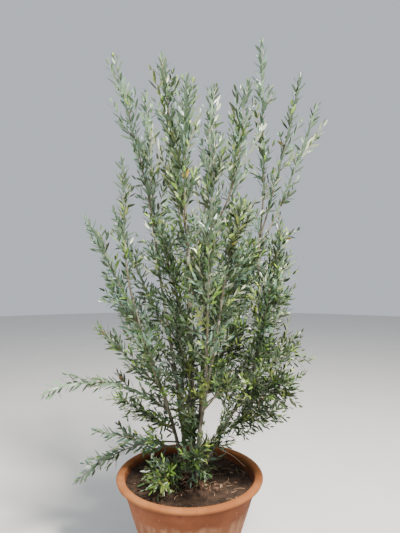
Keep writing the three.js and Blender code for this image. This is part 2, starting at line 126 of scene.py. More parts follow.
class Finish:
    """A material whose nodes are added step by step."""

    def __init__(self, name, roughness, specular=0.5):
        self.material = bpy.data.materials.new(name)
        self.material.use_nodes = True
        self.tree = self.material.node_tree
        self.shader = self.tree.nodes["Principled BSDF"]
        self.shader.inputs["Roughness"].default_value = roughness
        self.shader.inputs["Specular IOR Level"].default_value = specular
        self.place = self.tree.nodes.new("ShaderNodeTexCoord").outputs["Object"]

    def put(self, socket, value):
        """Links a socket to another one's output, or sets it to a plain value."""
        if isinstance(value, bpy.types.NodeSocket):
            self.tree.links.new(value, socket)
        elif hasattr(value, "__len__") and len(value) == 3 and socket.type == "RGBA":
            socket.default_value = (*value, 1)
        else:
            socket.default_value = value

    def stretched(self, x, y, z):
        """The place on the object, scaled by axis, for a pattern with a grain."""
        node = self.tree.nodes.new("ShaderNodeMapping")
        self.put(node.inputs["Vector"], self.place)
        self.put(node.inputs["Scale"], (x, y, z))
        return node.outputs["Vector"]

    def noise(self, scale, detail=4, vector=None, roughness=0.5):
        """Cloudy values from 0 to 1. A larger scale makes smaller clouds."""
        node = self.tree.nodes.new("ShaderNodeTexNoise")
        self.put(node.inputs["Vector"], vector or self.place)
        self.put(node.inputs["Scale"], scale)
        self.put(node.inputs["Detail"], detail)
        self.put(node.inputs["Roughness"], roughness)
        return node.outputs["Fac"]

    def height(self):
        """Metres above the ground."""
        node = self.tree.nodes.new("ShaderNodeSeparateXYZ")
        self.put(node.inputs[0], self.place)
        return node.outputs["Z"]

    def combined(self, *values, operation="ADD"):
        """The values put together by one operation, such as a sum or a product."""
        total = values[0]
        for value in values[1:]:
            node = self.tree.nodes.new("ShaderNodeMath")
            node.operation = operation
            self.put(node.inputs[0], total)
            self.put(node.inputs[1], value)
            total = node.outputs[0]
        return total

    def between(self, value, low, high):
        """0 where the value is low or less, 1 where it is high or more."""
        node = self.tree.nodes.new("ShaderNodeMapRange")
        node.interpolation_type = "SMOOTHSTEP"
        self.put(node.inputs["Value"], value)
        self.put(node.inputs["From Min"], low)
        self.put(node.inputs["From Max"], high)
        return node.outputs["Result"]

    def blend(self, share, first, second):
        """From the first colour at share 0 to the second at share 1."""
        node = self.tree.nodes.new("ShaderNodeMix")
        node.data_type = "RGBA"
        self.put(node.inputs[0], share)
        self.put(node.inputs[6], first)
        self.put(node.inputs[7], second)
        return node.outputs[2]

    def bump(self, height, distance, strength):
        """Fine ups and downs that only the shading shows."""
        node = self.tree.nodes.new("ShaderNodeBump")
        self.put(node.inputs["Height"], height)
        self.put(node.inputs["Distance"], distance)
        self.put(node.inputs["Strength"], strength)
        self.put(self.shader.inputs["Normal"], node.outputs["Normal"])

    def colour(self, value):
        """The colour of the surface, plain or from nodes."""
        self.put(self.shader.inputs["Base Color"], value)


print("a grey of 128 is", round(linear(128, 128, 128)[0], 3), "to the shader")

# %% [markdown]
# ## The pot
#
# The pot is thrown clay: a plain cone under a thick rounded rim. A potter turns it, so the mesh is turned
# too: one outline spun round the axis. The outline follows the solid pot's own sizes, only the roll of the
# rim is a true round and a little slimmer. Fine throwing lines and a slow wobble keep it from looking
# machined.

# %% The pot's sizes
pot_low, pot_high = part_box("pot")
POT_HEIGHT = pot_high.z
RIM_RADIUS = pot_high.x
RIM_DEPTH = 30 * MM
BASE_RADIUS = 156 * MM
BODY_TOP_RADIUS = 303 * MM
WALL = 16 * MM
POT_FLOOR = 24 * MM
SOIL_TOP = POT_HEIGHT - 35 * MM
BODY_TOP = POT_HEIGHT - RIM_DEPTH
WALL_SLOPE = (BODY_TOP_RADIUS - BASE_RADIUS) / BODY_TOP
POT_SEGMENTS = 160


def inner_radius(height):
    """The pot's inner wall at a height."""
    return BASE_RADIUS + WALL_SLOPE * height - WALL


print("pot", round(POT_HEIGHT, 3), "high,", round(2 * RIM_RADIUS, 3), "across the rim")


# %% Turning an outline round the axis
def turned(outline, segments, relief):
    """Points and faces of an outline of (radius, height) spun round the z axis, with both ends on the axis.

    relief(angle, radius, height) says how far a point moves outwards and upwards.
    """
    angles = np.arange(segments) * 2 * math.pi / segments
    points = [(0, 0, outline[0][1])]
    for radius, height in outline[1:-1]:
        for angle in angles:
            out, up = relief(angle, radius, height)
            points.append(((radius + out) * math.cos(angle), (radius + out) * math.sin(angle), height + up))
    points.append((0, 0, outline[-1][1] + relief(0, 0, outline[-1][1])[1]))
    here = np.arange(segments)
    following = (here + 1) % segments
    rings = len(outline) - 2
    first = 1 + (rings - 1) * segments
    quads = [np.stack([1 + r * segments + here, 1 + r * segments + following,
                       1 + (r + 1) * segments + following, 1 + (r + 1) * segments + here], 1)
             for r in range(rings - 1)]
    bottom = np.stack([np.zeros_like(here), 1 + following, 1 + here], 1)
    top = np.stack([np.full_like(here, len(points) - 1), first + here, first + following], 1)
    return np.array(points), [np.concatenate(quads), np.concatenate([bottom, top])]


bucket = turned([(0, 0), (0.5, 0), (1, 1), (0, 1)], 6, lambda angle, radius, height: (0, 0))
print("a six-sided bucket has", len(bucket[0]), "points")


# %% The pot's outline
def arc(centre, radii, start, end, steps):
    """Points on an ellipse's arc, from a start to an end angle in degrees."""
    angles = np.radians(np.linspace(start, end, steps))
    return [(centre[0] + radii[0] * math.cos(a), centre[1] + radii[1] * math.sin(a)) for a in angles]


def straight(start, end, steps):
    """Points on a straight line, without its end."""
    return [tuple(np.array(start) + (np.array(end) - start) * k / steps) for k in range(steps)]


BEVEL = 5 * MM
LIP = 5 * MM
FILLET = 3 * MM
ROLL_RADIUS = RIM_RADIUS - 3 * MM
ROLL_THICKNESS = 37 * MM
ROLL_ROUND = 11 * MM
ROLL_BOTTOM = BODY_TOP + 9 * MM
roll_middle = ROLL_RADIUS - ROLL_THICKNESS / 2
wall_bottom = (BASE_RADIUS + BEVEL * WALL_SLOPE, 2 * BEVEL)
wall_top = (BODY_TOP_RADIUS, ROLL_BOTTOM - FILLET)
pot_outline = [(0, 0)]
pot_outline += straight((BASE_RADIUS * 0.5, 0), (BASE_RADIUS - BEVEL, 0), 2)
pot_outline += arc((BASE_RADIUS - BEVEL, BEVEL), (BEVEL, BEVEL), -90, 0, 4)
pot_outline += straight(wall_bottom, wall_top, 70)
pot_outline += arc((BODY_TOP_RADIUS + FILLET, ROLL_BOTTOM - FILLET), (FILLET, FILLET), 180, 90, 3)
pot_outline += arc((ROLL_RADIUS - 2 * LIP, ROLL_BOTTOM + LIP), (1.6 * LIP, LIP), -90, -10, 5)
pot_outline += arc((roll_middle, POT_HEIGHT - ROLL_ROUND), (ROLL_THICKNESS / 2, ROLL_ROUND), 0, 180, 17)
pot_outline += straight((inner_radius(BODY_TOP), BODY_TOP), (inner_radius(POT_FLOOR), POT_FLOOR), 24)
pot_outline += [(inner_radius(POT_FLOOR) - 2 * MM, POT_FLOOR), (0, POT_FLOOR)]
print("outline points:", len(pot_outline))


# %% Throwing lines and wobble
THROWING_LINE = 9 * MM
THROWING_DEPTH = 0.35 * MM
WOBBLE = 1.2 * MM
GRIT = 0.35 * MM


def thrown(angle, radius, height):
    """The small ups and downs of a hand-thrown wall. The underside and the floor stay flat."""
    if radius < BASE_RADIUS:
        return 0, 0
    around = Vector((math.cos(angle), math.sin(angle), height * 6))
    slow = noise.noise(around * 1.3) * WOBBLE
    lines = math.sin(height / THROWING_LINE * 2 * math.pi + noise.noise(around * 2) * 2) * THROWING_DEPTH
    fine = noise.noise(around * 22) * GRIT
    return min(0.0, slow - WOBBLE / 2) + lines + fine, 0


pot_points, pot_faces = turned(pot_outline, POT_SEGMENTS, thrown)
print("pot mesh:", len(pot_points), "points")

# %% [markdown]
# Terracotta shows what water does to it. The rim is dry and light. Close under its roll the wall gets a dark
# band of painted shade, where the roll overhangs it. Below that the clay is a strong orange-brown. Lower
# down lime has come through the wall and left a pale, pinkish bloom, with a ragged border. A picture could
# be wrapped round the pot, but height above the ground, roughened with noise, says just as well which of
# them shows, and has no seam.

# %% The clay's finish
clay = Finish("terracotta_weathered", 0.88, 0.3)
patches = clay.noise(7, 5)
streaks = clay.noise(3.2, 6, clay.stretched(9, 9, 1.6))
grain = clay.noise(230, 3)
specks = clay.noise(75, 2)
damp_clay = clay.blend(clay.between(patches, 0.35, 0.68), linear(110, 60, 33), linear(132, 77, 46))
damp_clay = clay.blend(clay.between(streaks, 0.52, 0.74), damp_clay, linear(106, 60, 36))
lime_bloom = clay.blend(clay.between(streaks, 0.35, 0.7), linear(114, 68, 41), linear(148, 105, 78))
lime_bloom = clay.blend(clay.between(patches, 0.5, 0.72), lime_bloom, linear(128, 79, 52))
RAGGEDNESS = 0.13
BLOOM_TOP = POT_HEIGHT - 50 * MM
ragged_height = clay.combined(clay.height(), clay.combined(patches, RAGGEDNESS, operation="MULTIPLY"))
above_bloom = clay.between(ragged_height, BLOOM_TOP - 12 * MM, BLOOM_TOP + 14 * MM)
body_colour = clay.blend(above_bloom, lime_bloom, damp_clay)
# Painted shade: the clay just under the roll's overhang is darkened towards dark brown, as the roll's
# shadow.
ROLL_SHADE_STARTS = ROLL_BOTTOM - 36 * MM
ROLL_SHADE_FULL = ROLL_BOTTOM - 12 * MM
ROLL_SHADE_SHARE = 0.55
painted_shade_under_roll = clay.between(clay.height(), ROLL_SHADE_STARTS, ROLL_SHADE_FULL)
painted_shade_under_roll = clay.combined(painted_shade_under_roll, ROLL_SHADE_SHARE, operation="MULTIPLY")
body_colour = clay.blend(painted_shade_under_roll, body_colour, linear(84, 42, 20))
rim_colour = clay.blend(clay.between(patches, 0.38, 0.66), linear(124, 73, 36), linear(144, 92, 52))
on_rim = clay.between(clay.height(), ROLL_BOTTOM - 2 * MM, ROLL_BOTTOM + 5 * MM)
clay_colour = clay.blend(on_rim, body_colour, rim_colour)
clay_colour = clay.blend(clay.between(specks, 0.70, 0.80), clay_colour, linear(186, 142, 108))
clay_colour = clay.blend(clay.between(specks, 0.30, 0.24), clay_colour, linear(110, 62, 38))
clay.colour(clay_colour)
clay.bump(clay.combined(grain, clay.combined(patches, 2, operation="MULTIPLY")), 0.7 * MM, 0.6)

pot_piece = new_piece("pot_terracotta", pot_points, pot_faces, [clay.material])
on_frame(pot_piece, "terracotta", "pot")

# %% [markdown]
# ## The soil
#
# Potting soil is never flat: water packs it, roots lift it round the stems, and crumbs lie on it. It could
# be a plane with a bump, but the bumps have to show against the pot's wall. So a fine turned disc gets its
# height from three sizes of noise and a low mound under the foot. Crumbs are strewn on it later.

# %% The soil's surface
FOOT = np.array([0.018, 0.075])
MOUND = 9 * MM
MOUND_WIDTH = 0.11
SOIL_MARGIN = 1 * MM
SLOPE = 0.03
SINKING = 2 * MM
CLOD_SIZES = {9: 5 * MM, 34: 2.4 * MM, 110: 1.3 * MM}


def soil_height(x, y):
    """The height of the soil's surface at a place."""
    spot = Vector((x, y, 0))
    rough = sum(noise.noise(spot * fineness) * depth for fineness, depth in CLOD_SIZES.items())
    mound = MOUND * math.exp(-((x - FOOT[0]) ** 2 + (y - FOOT[1]) ** 2) / MOUND_WIDTH**2)
    return SOIL_TOP + rough + mound - SLOPE * x - SINKING


def soil_relief(angle, radius, height):
    """The surface goes up and down, and what lies below it stays as it is."""
    if height < SOIL_TOP:
        return 0, 0
    return 0, soil_height(radius * math.cos(angle), radius * math.sin(angle)) - height


soil_bottom = POT_FLOOR + SOIL_MARGIN
soil_edge = inner_radius(SOIL_TOP) - SOIL_MARGIN
soil_outline = [(0, soil_bottom), (inner_radius(POT_FLOOR) - 2 * SOIL_MARGIN, soil_bottom)]
soil_outline += straight((soil_edge, SOIL_TOP), (0, SOIL_TOP), 90)
soil_outline += [(0, SOIL_TOP)]
soil_points, soil_faces = turned(soil_outline, 200, soil_relief)
print("soil from", round(soil_bottom, 3), "to", round(soil_points[:, 2].max(), 3))

# %% [markdown]
# Soil is dark where it is damp and a little greyer where it has dried, with pale crumbs here and there. Two
# noises make clods and crumbs, and a third, much larger one picks the dry places.

# %% The soil's finish
earth = Finish("potting_soil_dark", 0.96, 0.2)
clods = earth.noise(24, 6)
crumbs = earth.noise(150, 4)
dry_places = earth.noise(5, 3)
dark = earth.blend(earth.between(clods, 0.35, 0.65), linear(37, 27, 20), linear(60, 45, 34))
dry = earth.blend(earth.between(crumbs, 0.4, 0.66), linear(50, 38, 29), linear(78, 61, 48))
soil_colour = earth.blend(earth.between(dry_places, 0.54, 0.72), dark, dry)
soil_colour = earth.blend(earth.between(crumbs, 0.64, 0.72), soil_colour, linear(104, 80, 60))
earth.colour(soil_colour)
earth.bump(earth.combined(clods, crumbs), 2.5 * MM, 0.8)

soil_piece = new_piece("soil_surface", soil_points, soil_faces, [earth.material])
on_frame(soil_piece, "potting_soil", "soil")

# %% [markdown]
# ## Paths of the limbs
#
# A stem leaves its foot one way and ends another. One bend with four pull points says that with the fewest
# numbers, and it is the same bend that the solid model uses, so bark and twigs lie exactly where the solids
# do. Places on it are asked for by share of its length, which spaces rings and twigs evenly.

# %% A bend, walked by its length
PULL = 0.35
WALK = np.linspace(0, 1, 201)
LINE_PLACES = np.linspace(0, 1, 25)
WAY_STEP = 0.0005
UP = np.array([0.0, 0.0, 1.0])


def unit(vector):
    """The same direction with a length of one. Takes one vector or an array of them."""
    return vector / np.linalg.norm(vector, axis=-1, keepdims=True)


class Path:
    """A bend from start to end that leaves in one direction and arrives in another."""

    def __init__(self, start, end, start_way, end_way):
        pull = np.linalg.norm(end - start) * PULL
        self.pulls = np.array([start, start + start_way * pull, end - end_way * pull, end])
        steps = np.linalg.norm(np.diff(self.bend(WALK), axis=0), axis=1)
        self.walked = np.concatenate([[0], np.cumsum(steps)])
        self.length = self.walked[-1]
        self.line = self.at(LINE_PLACES)

    def bend(self, t):
        """Places by the bend's own number t, which runs from 0 to 1 but not at an even pace."""
        t = np.atleast_1d(t)[:, None]
        a, b, c, d = self.pulls
        return (1 - t) ** 3 * a + 3 * (1 - t) ** 2 * t * b + 3 * (1 - t) * t**2 * c + t**3 * d

    def bend_number(self, shares):
        """The bend's own number at shares of the walked length."""
        return np.interp(np.atleast_1d(shares) * self.length, self.walked, WALK)

    def at(self, shares):
        """Places at shares of the length."""
        return self.bend(self.bend_number(shares))

    def way(self, shares):
        """Directions at shares of the length."""
        t = np.clip(self.bend_number(shares), WAY_STEP, 1 - WAY_STEP)
        return unit(self.bend(t + WAY_STEP) - self.bend(t - WAY_STEP))


trial = Path(np.zeros(3), np.array([0.0, 0.0, 1.0]), unit(np.array([1.0, 0.0, 1.0])), UP)
print("a bend over one metre is", round(trial.length, 3), "m long")

# %% [markdown]
# The seven stems start on the soil, and each bough starts on a stem. A line of the table says where a limb
# starts, where its tip is, how thick it is at both ends and how it curls. Lengths in the table are
# millimetres, and "at" is the share of the parent's length at which a bough leaves it.

# %% The stems and boughs
LIMBS = [
    {"name": "trunk", "foot": [13, 80], "tip": [-10, 50, 1475], "radii": [15, 9], "curl": 0},
    {"name": "stem_second", "foot": [40, 40], "tip": [83, 0, 1546], "radii": [11, 6], "curl": 0},
    {"name": "stem_right", "foot": [74, 72], "tip": [226, -40, 829], "radii": [10, 7], "curl": -0.2},
    {"name": "stem_left", "foot": [-22, 116], "tip": [-180, 138, 1600], "radii": [10, 5], "curl": 0.1},
    {"name": "stem_front_left", "foot": [-34, 60], "tip": [-249, -80, 1280], "radii": [9, 4.5],
     "curl": 0.1},
    {"name": "stem_front", "foot": [22, -2], "tip": [134, -240, 1290], "radii": [9, 4.5], "curl": 0.15},
    {"name": "stem_back", "foot": [38, 136], "tip": [110, 330, 1524], "radii": [10, 5.5], "curl": 0.1},
    {"name": "bough_centre", "from": "trunk", "at": 1, "tip": [-20, -20, 1640], "radii": [8, 5], "curl": 0},
    {"name": "bough_right_fork", "from": "trunk", "at": 0.93, "tip": [60, 105, 1660], "radii": [6.5, 5],
     "curl": 0.3},
    {"name": "bough_inner_right", "from": "stem_second", "at": 1, "tip": [150, -60, 1680], "radii": [5.5, 5],
     "curl": 0},
    {"name": "bough_right", "from": "stem_right", "at": 1, "tip": [330, 45, 1600], "radii": [6.5, 5],
     "curl": 0},
    {"name": "bough_back_left", "from": "stem_back", "at": 0.7, "tip": [-50, 380, 1640], "radii": [5.5, 5],
     "curl": 0.3},
    {"name": "bough_back_right", "from": "stem_back", "at": 1, "tip": [190, 400, 1700], "radii": [5.3, 5],
     "curl": 0},
    {"name": "bough_front", "from": "stem_front", "at": 0.5, "tip": [74, -270, 1130], "radii": [5.5, 5],
     "curl": 0.3},
]
GAP = 0.3 * MM
limbs = {}


def path_of(limb, parent, tip_left):
    """The limb's path from the soil, from its parent's tip or out of its parent's side."""
    tip = np.array(limb["tip"]) * MM
    if parent is None:
        start = np.array([limb["foot"][0] * MM, limb["foot"][1] * MM, SOIL_TOP + GAP])
    else:
        start = parent["path"].at(limb["at"])[0]
    if limb.get("at") == 1:
        start = start + parent["path"].way(1)[0] * GAP
    straight_way = unit(tip - start)
    end_way = unit(straight_way + UP * limb["curl"])
    start_way = unit(straight_way - UP * limb["curl"])
    if parent is None:
        start_way = unit(straight_way + UP)
    elif limb["at"] == 1:
        start_way = parent["path"].way(1)[0]
    return Path(start, tip - end_way * tip_left, start_way, end_way)


for limb in LIMBS:
    limb["path"] = path_of(limb, limbs.get(limb.get("from")), 0)
    limbs[limb["name"]] = limb
limb_lines = np.array([limb["path"].line for limb in LIMBS])
print("limbs:", len(limbs), "longest", round(max(limb["path"].length for limb in LIMBS), 2), "m")

# %% [markdown]
# ## The masses of foliage
#
# Each mass is a spray round one stem of its own: it leaves a limb, runs to its furthest tip, and keeps
# within a reach of that stem. The plumes stand up into the sky, the tufts fill the middle, the clumps hang
# low, and a few long shoots reach out on the left. The table repeats the solid model's, since the twigs
# have to grow in the same spaces.

# %% The masses
MASSES = [
    {"name": "plume_far_left", "from": "stem_left", "at": 1, "tip": [-369, 80, 2450], "curl": 0,
     "reach": 120},
    {"name": "plume_left_inner", "from": "stem_left", "at": 0.84, "tip": [-245, 300, 2370], "curl": 0.2,
     "reach": 125},
    {"name": "plume_left_top", "from": "bough_centre", "at": 0.5, "tip": [-126, -50, 2379], "curl": 0.2,
     "reach": 120},
    {"name": "plume_middle", "from": "bough_centre", "at": 1, "tip": [-10, -120, 2255], "curl": 0,
     "reach": 115},
    {"name": "plume_middle_back", "from": "bough_right_fork", "at": 1, "tip": [115, 220, 2370], "curl": 0,
     "reach": 125},
    {"name": "plume_right_inner", "from": "bough_inner_right", "at": 1, "tip": [257, -120, 2229], "curl": 0,
     "reach": 120},
    {"name": "plume_top", "from": "bough_right", "at": 1, "tip": [338, 50, 2491], "curl": 0, "reach": 115},
    {"name": "plume_right_top", "from": "bough_right", "at": 0.95, "tip": [485, -100, 2256], "curl": 0.2,
     "reach": 105},
    {"name": "plume_far_right", "from": "bough_right", "at": 0.88, "tip": [621, 120, 2223], "curl": 0.2,
     "reach": 105},
    {"name": "plume_front", "from": "bough_front", "at": 1, "tip": [101, -330, 1960], "curl": 0,
     "reach": 115},
    {"name": "plume_back_left", "from": "bough_back_left", "at": 1, "tip": [-116, 470, 2342], "curl": 0,
     "reach": 130},
    {"name": "plume_back_right", "from": "bough_back_right", "at": 1, "tip": [277, 500, 2284], "curl": 0,
     "reach": 130},
    {"name": "shoot_left", "from": "stem_front_left", "at": 1, "tip": [-298, -100, 1925], "curl": 0,
     "reach": 105},
    {"name": "shoot_left_back", "from": "stem_left", "at": 0.55, "tip": [-418, 280, 1768], "curl": 0.2,
     "reach": 120},
    {"name": "shoot_arching", "from": "stem_front_left", "at": 0.8, "tip": [-462, -120, 1661], "curl": -0.1,
     "reach": 100},
    {"name": "tuft_centre_left", "from": "trunk", "at": 0.6, "tip": [-127, -190, 1640], "curl": 0.2,
     "reach": 140},
    {"name": "tuft_centre_front", "from": "stem_front", "at": 1, "tip": [210, -300, 1700], "curl": 0,
     "reach": 130},
    {"name": "tuft_centre_right", "from": "stem_second", "at": 0.6, "tip": [290, -160, 1560], "curl": 0.2,
     "reach": 140},
    {"name": "tuft_centre", "from": "trunk", "at": 0.78, "tip": [90, 140, 1600], "curl": 0.2, "reach": 130},
    {"name": "tuft_right_middle", "from": "bough_right", "at": 0.22, "tip": [350, -170, 1400], "curl": 0.2,
     "reach": 130},
    {"name": "tuft_right", "from": "bough_right", "at": 0.35, "tip": [430, 0, 1650], "curl": 0.2,
     "reach": 125},
    {"name": "tuft_right_back", "from": "stem_back", "at": 0.5, "tip": [400, 330, 1600], "curl": 0.2,
     "reach": 150},
    {"name": "tuft_centre_back", "from": "stem_back", "at": 0.62, "tip": [40, 500, 1650], "curl": 0.2,
     "reach": 140},
    {"name": "tuft_left_middle", "from": "stem_left", "at": 0.4, "tip": [-300, 200, 1310], "curl": 0.1,
     "reach": 135},
    {"name": "clump_right_front", "from": "stem_right", "at": 0.88, "tip": [400, -230, 1000], "curl": 0,
     "reach": 150},
    {"name": "clump_right", "from": "bough_right", "at": 0.1, "tip": [514, 60, 1130], "curl": 0.1,
     "reach": 140},
    {"name": "clump_right_back", "from": "stem_back", "at": 0.25, "tip": [470, 380, 1050], "curl": 0.1,
     "reach": 150},
    {"name": "clump_front", "from": "stem_front", "at": 0.4, "tip": [150, -430, 1040], "curl": 0.1,
     "reach": 135},
    {"name": "clump_centre", "from": "stem_second", "at": 0.32, "tip": [240, -200, 1230], "curl": 0.2,
     "reach": 125},
    {"name": "clump_centre_left", "from": "trunk", "at": 0.4, "tip": [-70, -150, 1290], "curl": 0.3,
     "reach": 120},
    {"name": "clump_centre_back", "from": "stem_left", "at": 0.22, "tip": [-40, 330, 1240], "curl": 0.2,
     "reach": 135},
    {"name": "clump_right_low", "from": "stem_right", "at": 0.62, "tip": [410, -50, 800], "curl": 0,
     "reach": 115},
    {"name": "clump_left_front", "from": "stem_front_left", "at": 0.42, "tip": [-190, -290, 1180],
     "curl": 0.1, "reach": 115},
    {"name": "shoot_left_low", "from": "stem_front_left", "at": 0.5, "tip": [-424, -80, 1192], "curl": 0.1,
     "reach": 100},
    {"name": "shoot_long_left", "from": "stem_front_left", "at": 0.36, "tip": [-684, -20, 836], "curl": -0.7,
     "reach": 95},
    {"name": "shoot_low_left", "from": "stem_front_left", "at": 0.14, "tip": [-425, -110, 728], "curl": 0,
     "reach": 95},
    {"name": "shoot_over_rim", "from": "stem_left", "at": 0.1, "tip": [-585, 190, 345], "curl": -0.5,
     "reach": 100},
    {"name": "clump_back_low", "from": "stem_back", "at": 0.15, "tip": [-100, 450, 900], "curl": 0.1,
     "reach": 145},
    {"name": "spray_on_soil", "from": "stem_front_left", "at": 0.04, "tip": [-140, -240, 528], "curl": -0.2,
     "reach": 110},
    {"name": "clump_foot_right", "from": "stem_front", "at": 0.1, "tip": [170, -130, 800], "curl": 0.1,
     "reach": 125},
    {"name": "shoot_by_trunk", "from": "trunk", "at": 0.1, "tip": [-40, -110, 920], "curl": 0.3,
     "reach": 105},
    {"name": "clump_foot_front", "from": "stem_front", "at": 0.03, "tip": [20, -200, 680], "curl": 0,
     "reach": 120},
    {"name": "shoot_left_middle", "from": "stem_front_left", "at": 0.68, "tip": [-400, 10, 1410], "curl": 0,
     "reach": 115},
    {"name": "clump_left_low", "from": "stem_front_left", "at": 0.25, "tip": [-340, -70, 880], "curl": 0.1,
     "reach": 110},
]
SOLID_LEAF = 106 * MM
SOLID_LEAF_SUNK = 0.5 * MM

for number, mass in enumerate(MASSES):
    mass["number"] = number
    mass["path"] = path_of(mass, limbs[mass["from"]], SOLID_LEAF - SOLID_LEAF_SUNK)
    mass["reach"] *= MM
mass_lines = np.array([[*mass["path"].line, np.array(mass["tip"]) * MM] for mass in MASSES])
reaches = np.array([mass["reach"] for mass in MASSES])
print("masses:", len(MASSES), "stems of", round(sum(mass["path"].length for mass in MASSES), 1), "m in all")

# %% [markdown]
# ## Bark
#
# Young olive bark is smooth and grey, with shallow furrows that run along the stem, a swelling where a
# branch leaves, and a foot that spreads into the soil. A tube along the limb's path has the taper. The rest
# is how far each of its corners is pushed in or out, so that the relief is in the mesh and shows at the
# outline too. The tube needs rings that don't twist, which is why one crosswise direction is carried along
# the path.

# %% Rings that don't twist
ANY_ASIDE = [0.31, 0.9, 0.17]


def ring_frames(ways):
    """Two crosswise directions at each step along a path."""
    across = unit(np.cross(ways[0], ANY_ASIDE))
    firsts = []
    for way in ways:
        across = unit(across - way * np.dot(across, way))
        firsts.append(across)
    firsts = np.array(firsts)
    return firsts, np.cross(ways, firsts)


def ring_spokes(ways, sides):
    """Directions from the path to the corners of each ring."""
    firsts, seconds = ring_frames(ways)
    angles = np.arange(sides) * 2 * math.pi / sides
    return firsts[:, None] * np.cos(angles)[:, None] + seconds[:, None] * np.sin(angles)[:, None]


# %% A tube along a path
def tube(places, ways, radii, sides, offset=0):
    """Points and faces of a closed tube: radii is one value or one row of values for each place."""
    radii = np.broadcast_to(np.asarray(radii).reshape(len(places), -1), (len(places), sides))
    rings = places[:, None] + ring_spokes(ways, sides) * radii[..., None]
    points = np.concatenate([rings.reshape(-1, 3), places[:1], places[-1:]])
    here = np.arange(sides)
    following = (here + 1) % sides
    base = np.arange(len(places) - 1)[:, None] * sides
    quads = np.stack([base + here, base + following, base + sides + following, base + sides + here], -1)
    last = (len(places) - 1) * sides
    first_end = np.stack([np.full_like(here, len(points) - 2), following, here], 1)
    last_end = np.stack([np.full_like(here, len(points) - 1), last + here, last + following], 1)
    ends = np.concatenate([first_end, last_end])
    return points, quads.reshape(-1, 4) + offset, ends + offset


three = [0, 0.5, 1]
made = tube(trial.at(three), trial.way(three), np.full(3, 5 * MM), 6)
print("three rings of six corners make", len(made[0]), "points and", len(made[1]), "quads")


# %% How the bark stands in and out
FLARE = 0.7
FLARE_HEIGHT = 45 * MM
TOES = 4
TOE_SPREAD = 0.22
TOE_HEIGHT = 0.6 * FLARE_HEIGHT
FURROW_DEPTH = 0.055
FURROW_GRAIN = (2.6, 14)
LUMP_DEPTH = 0.09
LUMP_GRAIN = (0.8, 30)
COLLAR = 0.3
COLLAR_HEIGHT = 14 * MM


def limb_radius(limb, along):
    """The limb's plain radius at shares of its length, with the flare of a stem at the soil."""
    root, tip = np.array(limb["radii"]) * MM
    plain = root + (tip - root) * along
    if "foot" in limb:
        plain = plain * (1 + FLARE * np.exp(-along * limb["path"].length / FLARE_HEIGHT))
    return plain


def children_of(name):
    """What leaves this limb's side."""
    return [child for child in LIMBS + MASSES if child.get("from") == name and child["at"] < 1]


def bark_relief(limb, shares, places, ways, spokes):
    """Radii of every corner of the limb's skin, one row for each ring."""
    plain = limb_radius(limb, shares)[:, None] * np.ones(spokes.shape[1])
    walked = shares * limb["path"].length
    own_place = places[0] * 40

    def ripple(spoke, way, walk, grain):
        return noise.noise(Vector(own_place + spoke * grain[0] + way * walk * grain[1]))

    for i, walk in enumerate(walked):
        for j, spoke in enumerate(spokes[i]):
            furrow = ripple(spoke, ways[i], walk, FURROW_GRAIN) * FURROW_DEPTH
            lump = ripple(spoke, ways[i], walk, LUMP_GRAIN) * LUMP_DEPTH
            plain[i, j] *= 1 + furrow + lump
    if "foot" in limb:
        angles = np.arctan2(spokes[..., 1], spokes[..., 0])
        toes = np.cos(TOES * angles + places[0, 0] * 90) * np.exp(-walked / TOE_HEIGHT)[:, None]
        plain *= 1 + TOE_SPREAD * toes
    for child in children_of(limb["name"]):
        way = child["path"].way(0)[0]
        facing = np.clip((spokes * way).sum(-1), 0, 1)
        close = np.exp(-(((walked - child["at"] * limb["path"].length) / COLLAR_HEIGHT) ** 2))
        plain *= 1 + COLLAR * facing * close[:, None]
    return plain


print("limbs and masses that leave the trunk:", [child["name"] for child in children_of("trunk")])

# %% [markdown]
# The colour runs from dark in the furrows to pale grey on the ridges. Brown blotches and small spots of
# lichen lie over it. The furrows' noise is stretched along the limb, and the same noise makes the fine
# bump.

# %% The bark's finish
bark = Finish("bark_young_olive", 0.82, 0.3)
along_grain = bark.noise(60, 5, bark.stretched(1, 1, 0.16))
blotches = bark.noise(11, 4)
lichen = bark.noise(48, 3)
bark_colour = bark.blend(bark.between(along_grain, 0.36, 0.66), linear(76, 72, 60), linear(130, 126, 110))
bark_colour = bark.blend(bark.between(blotches, 0.5, 0.66), bark_colour, linear(108, 98, 80))
bark_colour = bark.blend(bark.between(lichen, 0.62, 0.7), bark_colour, linear(188, 182, 168))
bark.colour(bark_colour)
bark.bump(bark.combined(along_grain, lichen), 1.2 * MM, 0.7)
print("nodes in the bark's finish:", len(bark.tree.nodes))

# %% The skins of the limbs
RING = 7 * MM
TRUNK_SIDES = 22
LIMB_SIDES = 16
SUNK_IN_SOIL = 14 * MM
SUNK_IN_WOOD = 5 * MM


def skin(limb):
    """The limb's bark, from a little below the soil or inside the parent's wood to the tip."""
    path = limb["path"]
    sides = TRUNK_SIDES if limb["name"] == "trunk" else LIMB_SIDES
    shares = np.linspace(0, 1, max(8, round(path.length / RING)))
    places, ways = path.at(shares), path.way(shares)
    below = SUNK_IN_SOIL if "foot" in limb else SUNK_IN_WOOD
    places = np.concatenate([places[:1] - ways[:1] * below, places])
    ways = np.concatenate([ways[:1], ways])
    shares = np.concatenate([[0], shares])
    radii = bark_relief(limb, shares, places, ways, ring_spokes(ways, sides))
    points, quads, ends = tube(places, ways, radii, sides)
    piece = new_piece("bark_" + limb["name"], points, [quads, ends], [bark.material])
    on_frame(piece, "bark", limb["name"])


for limb in LIMBS:
    skin(limb)

# %% [markdown]
# ## The rule of growth
#
# Twigs leave the stem of a mass one after another, each turned by the golden angle from the last, wide at
# the base of the stem and closer to it near the tip. The random numbers come from a seeded row, the same
# one that the solid model uses, so the solid's own twigs come out again here, and finer shoots grow on
# them.

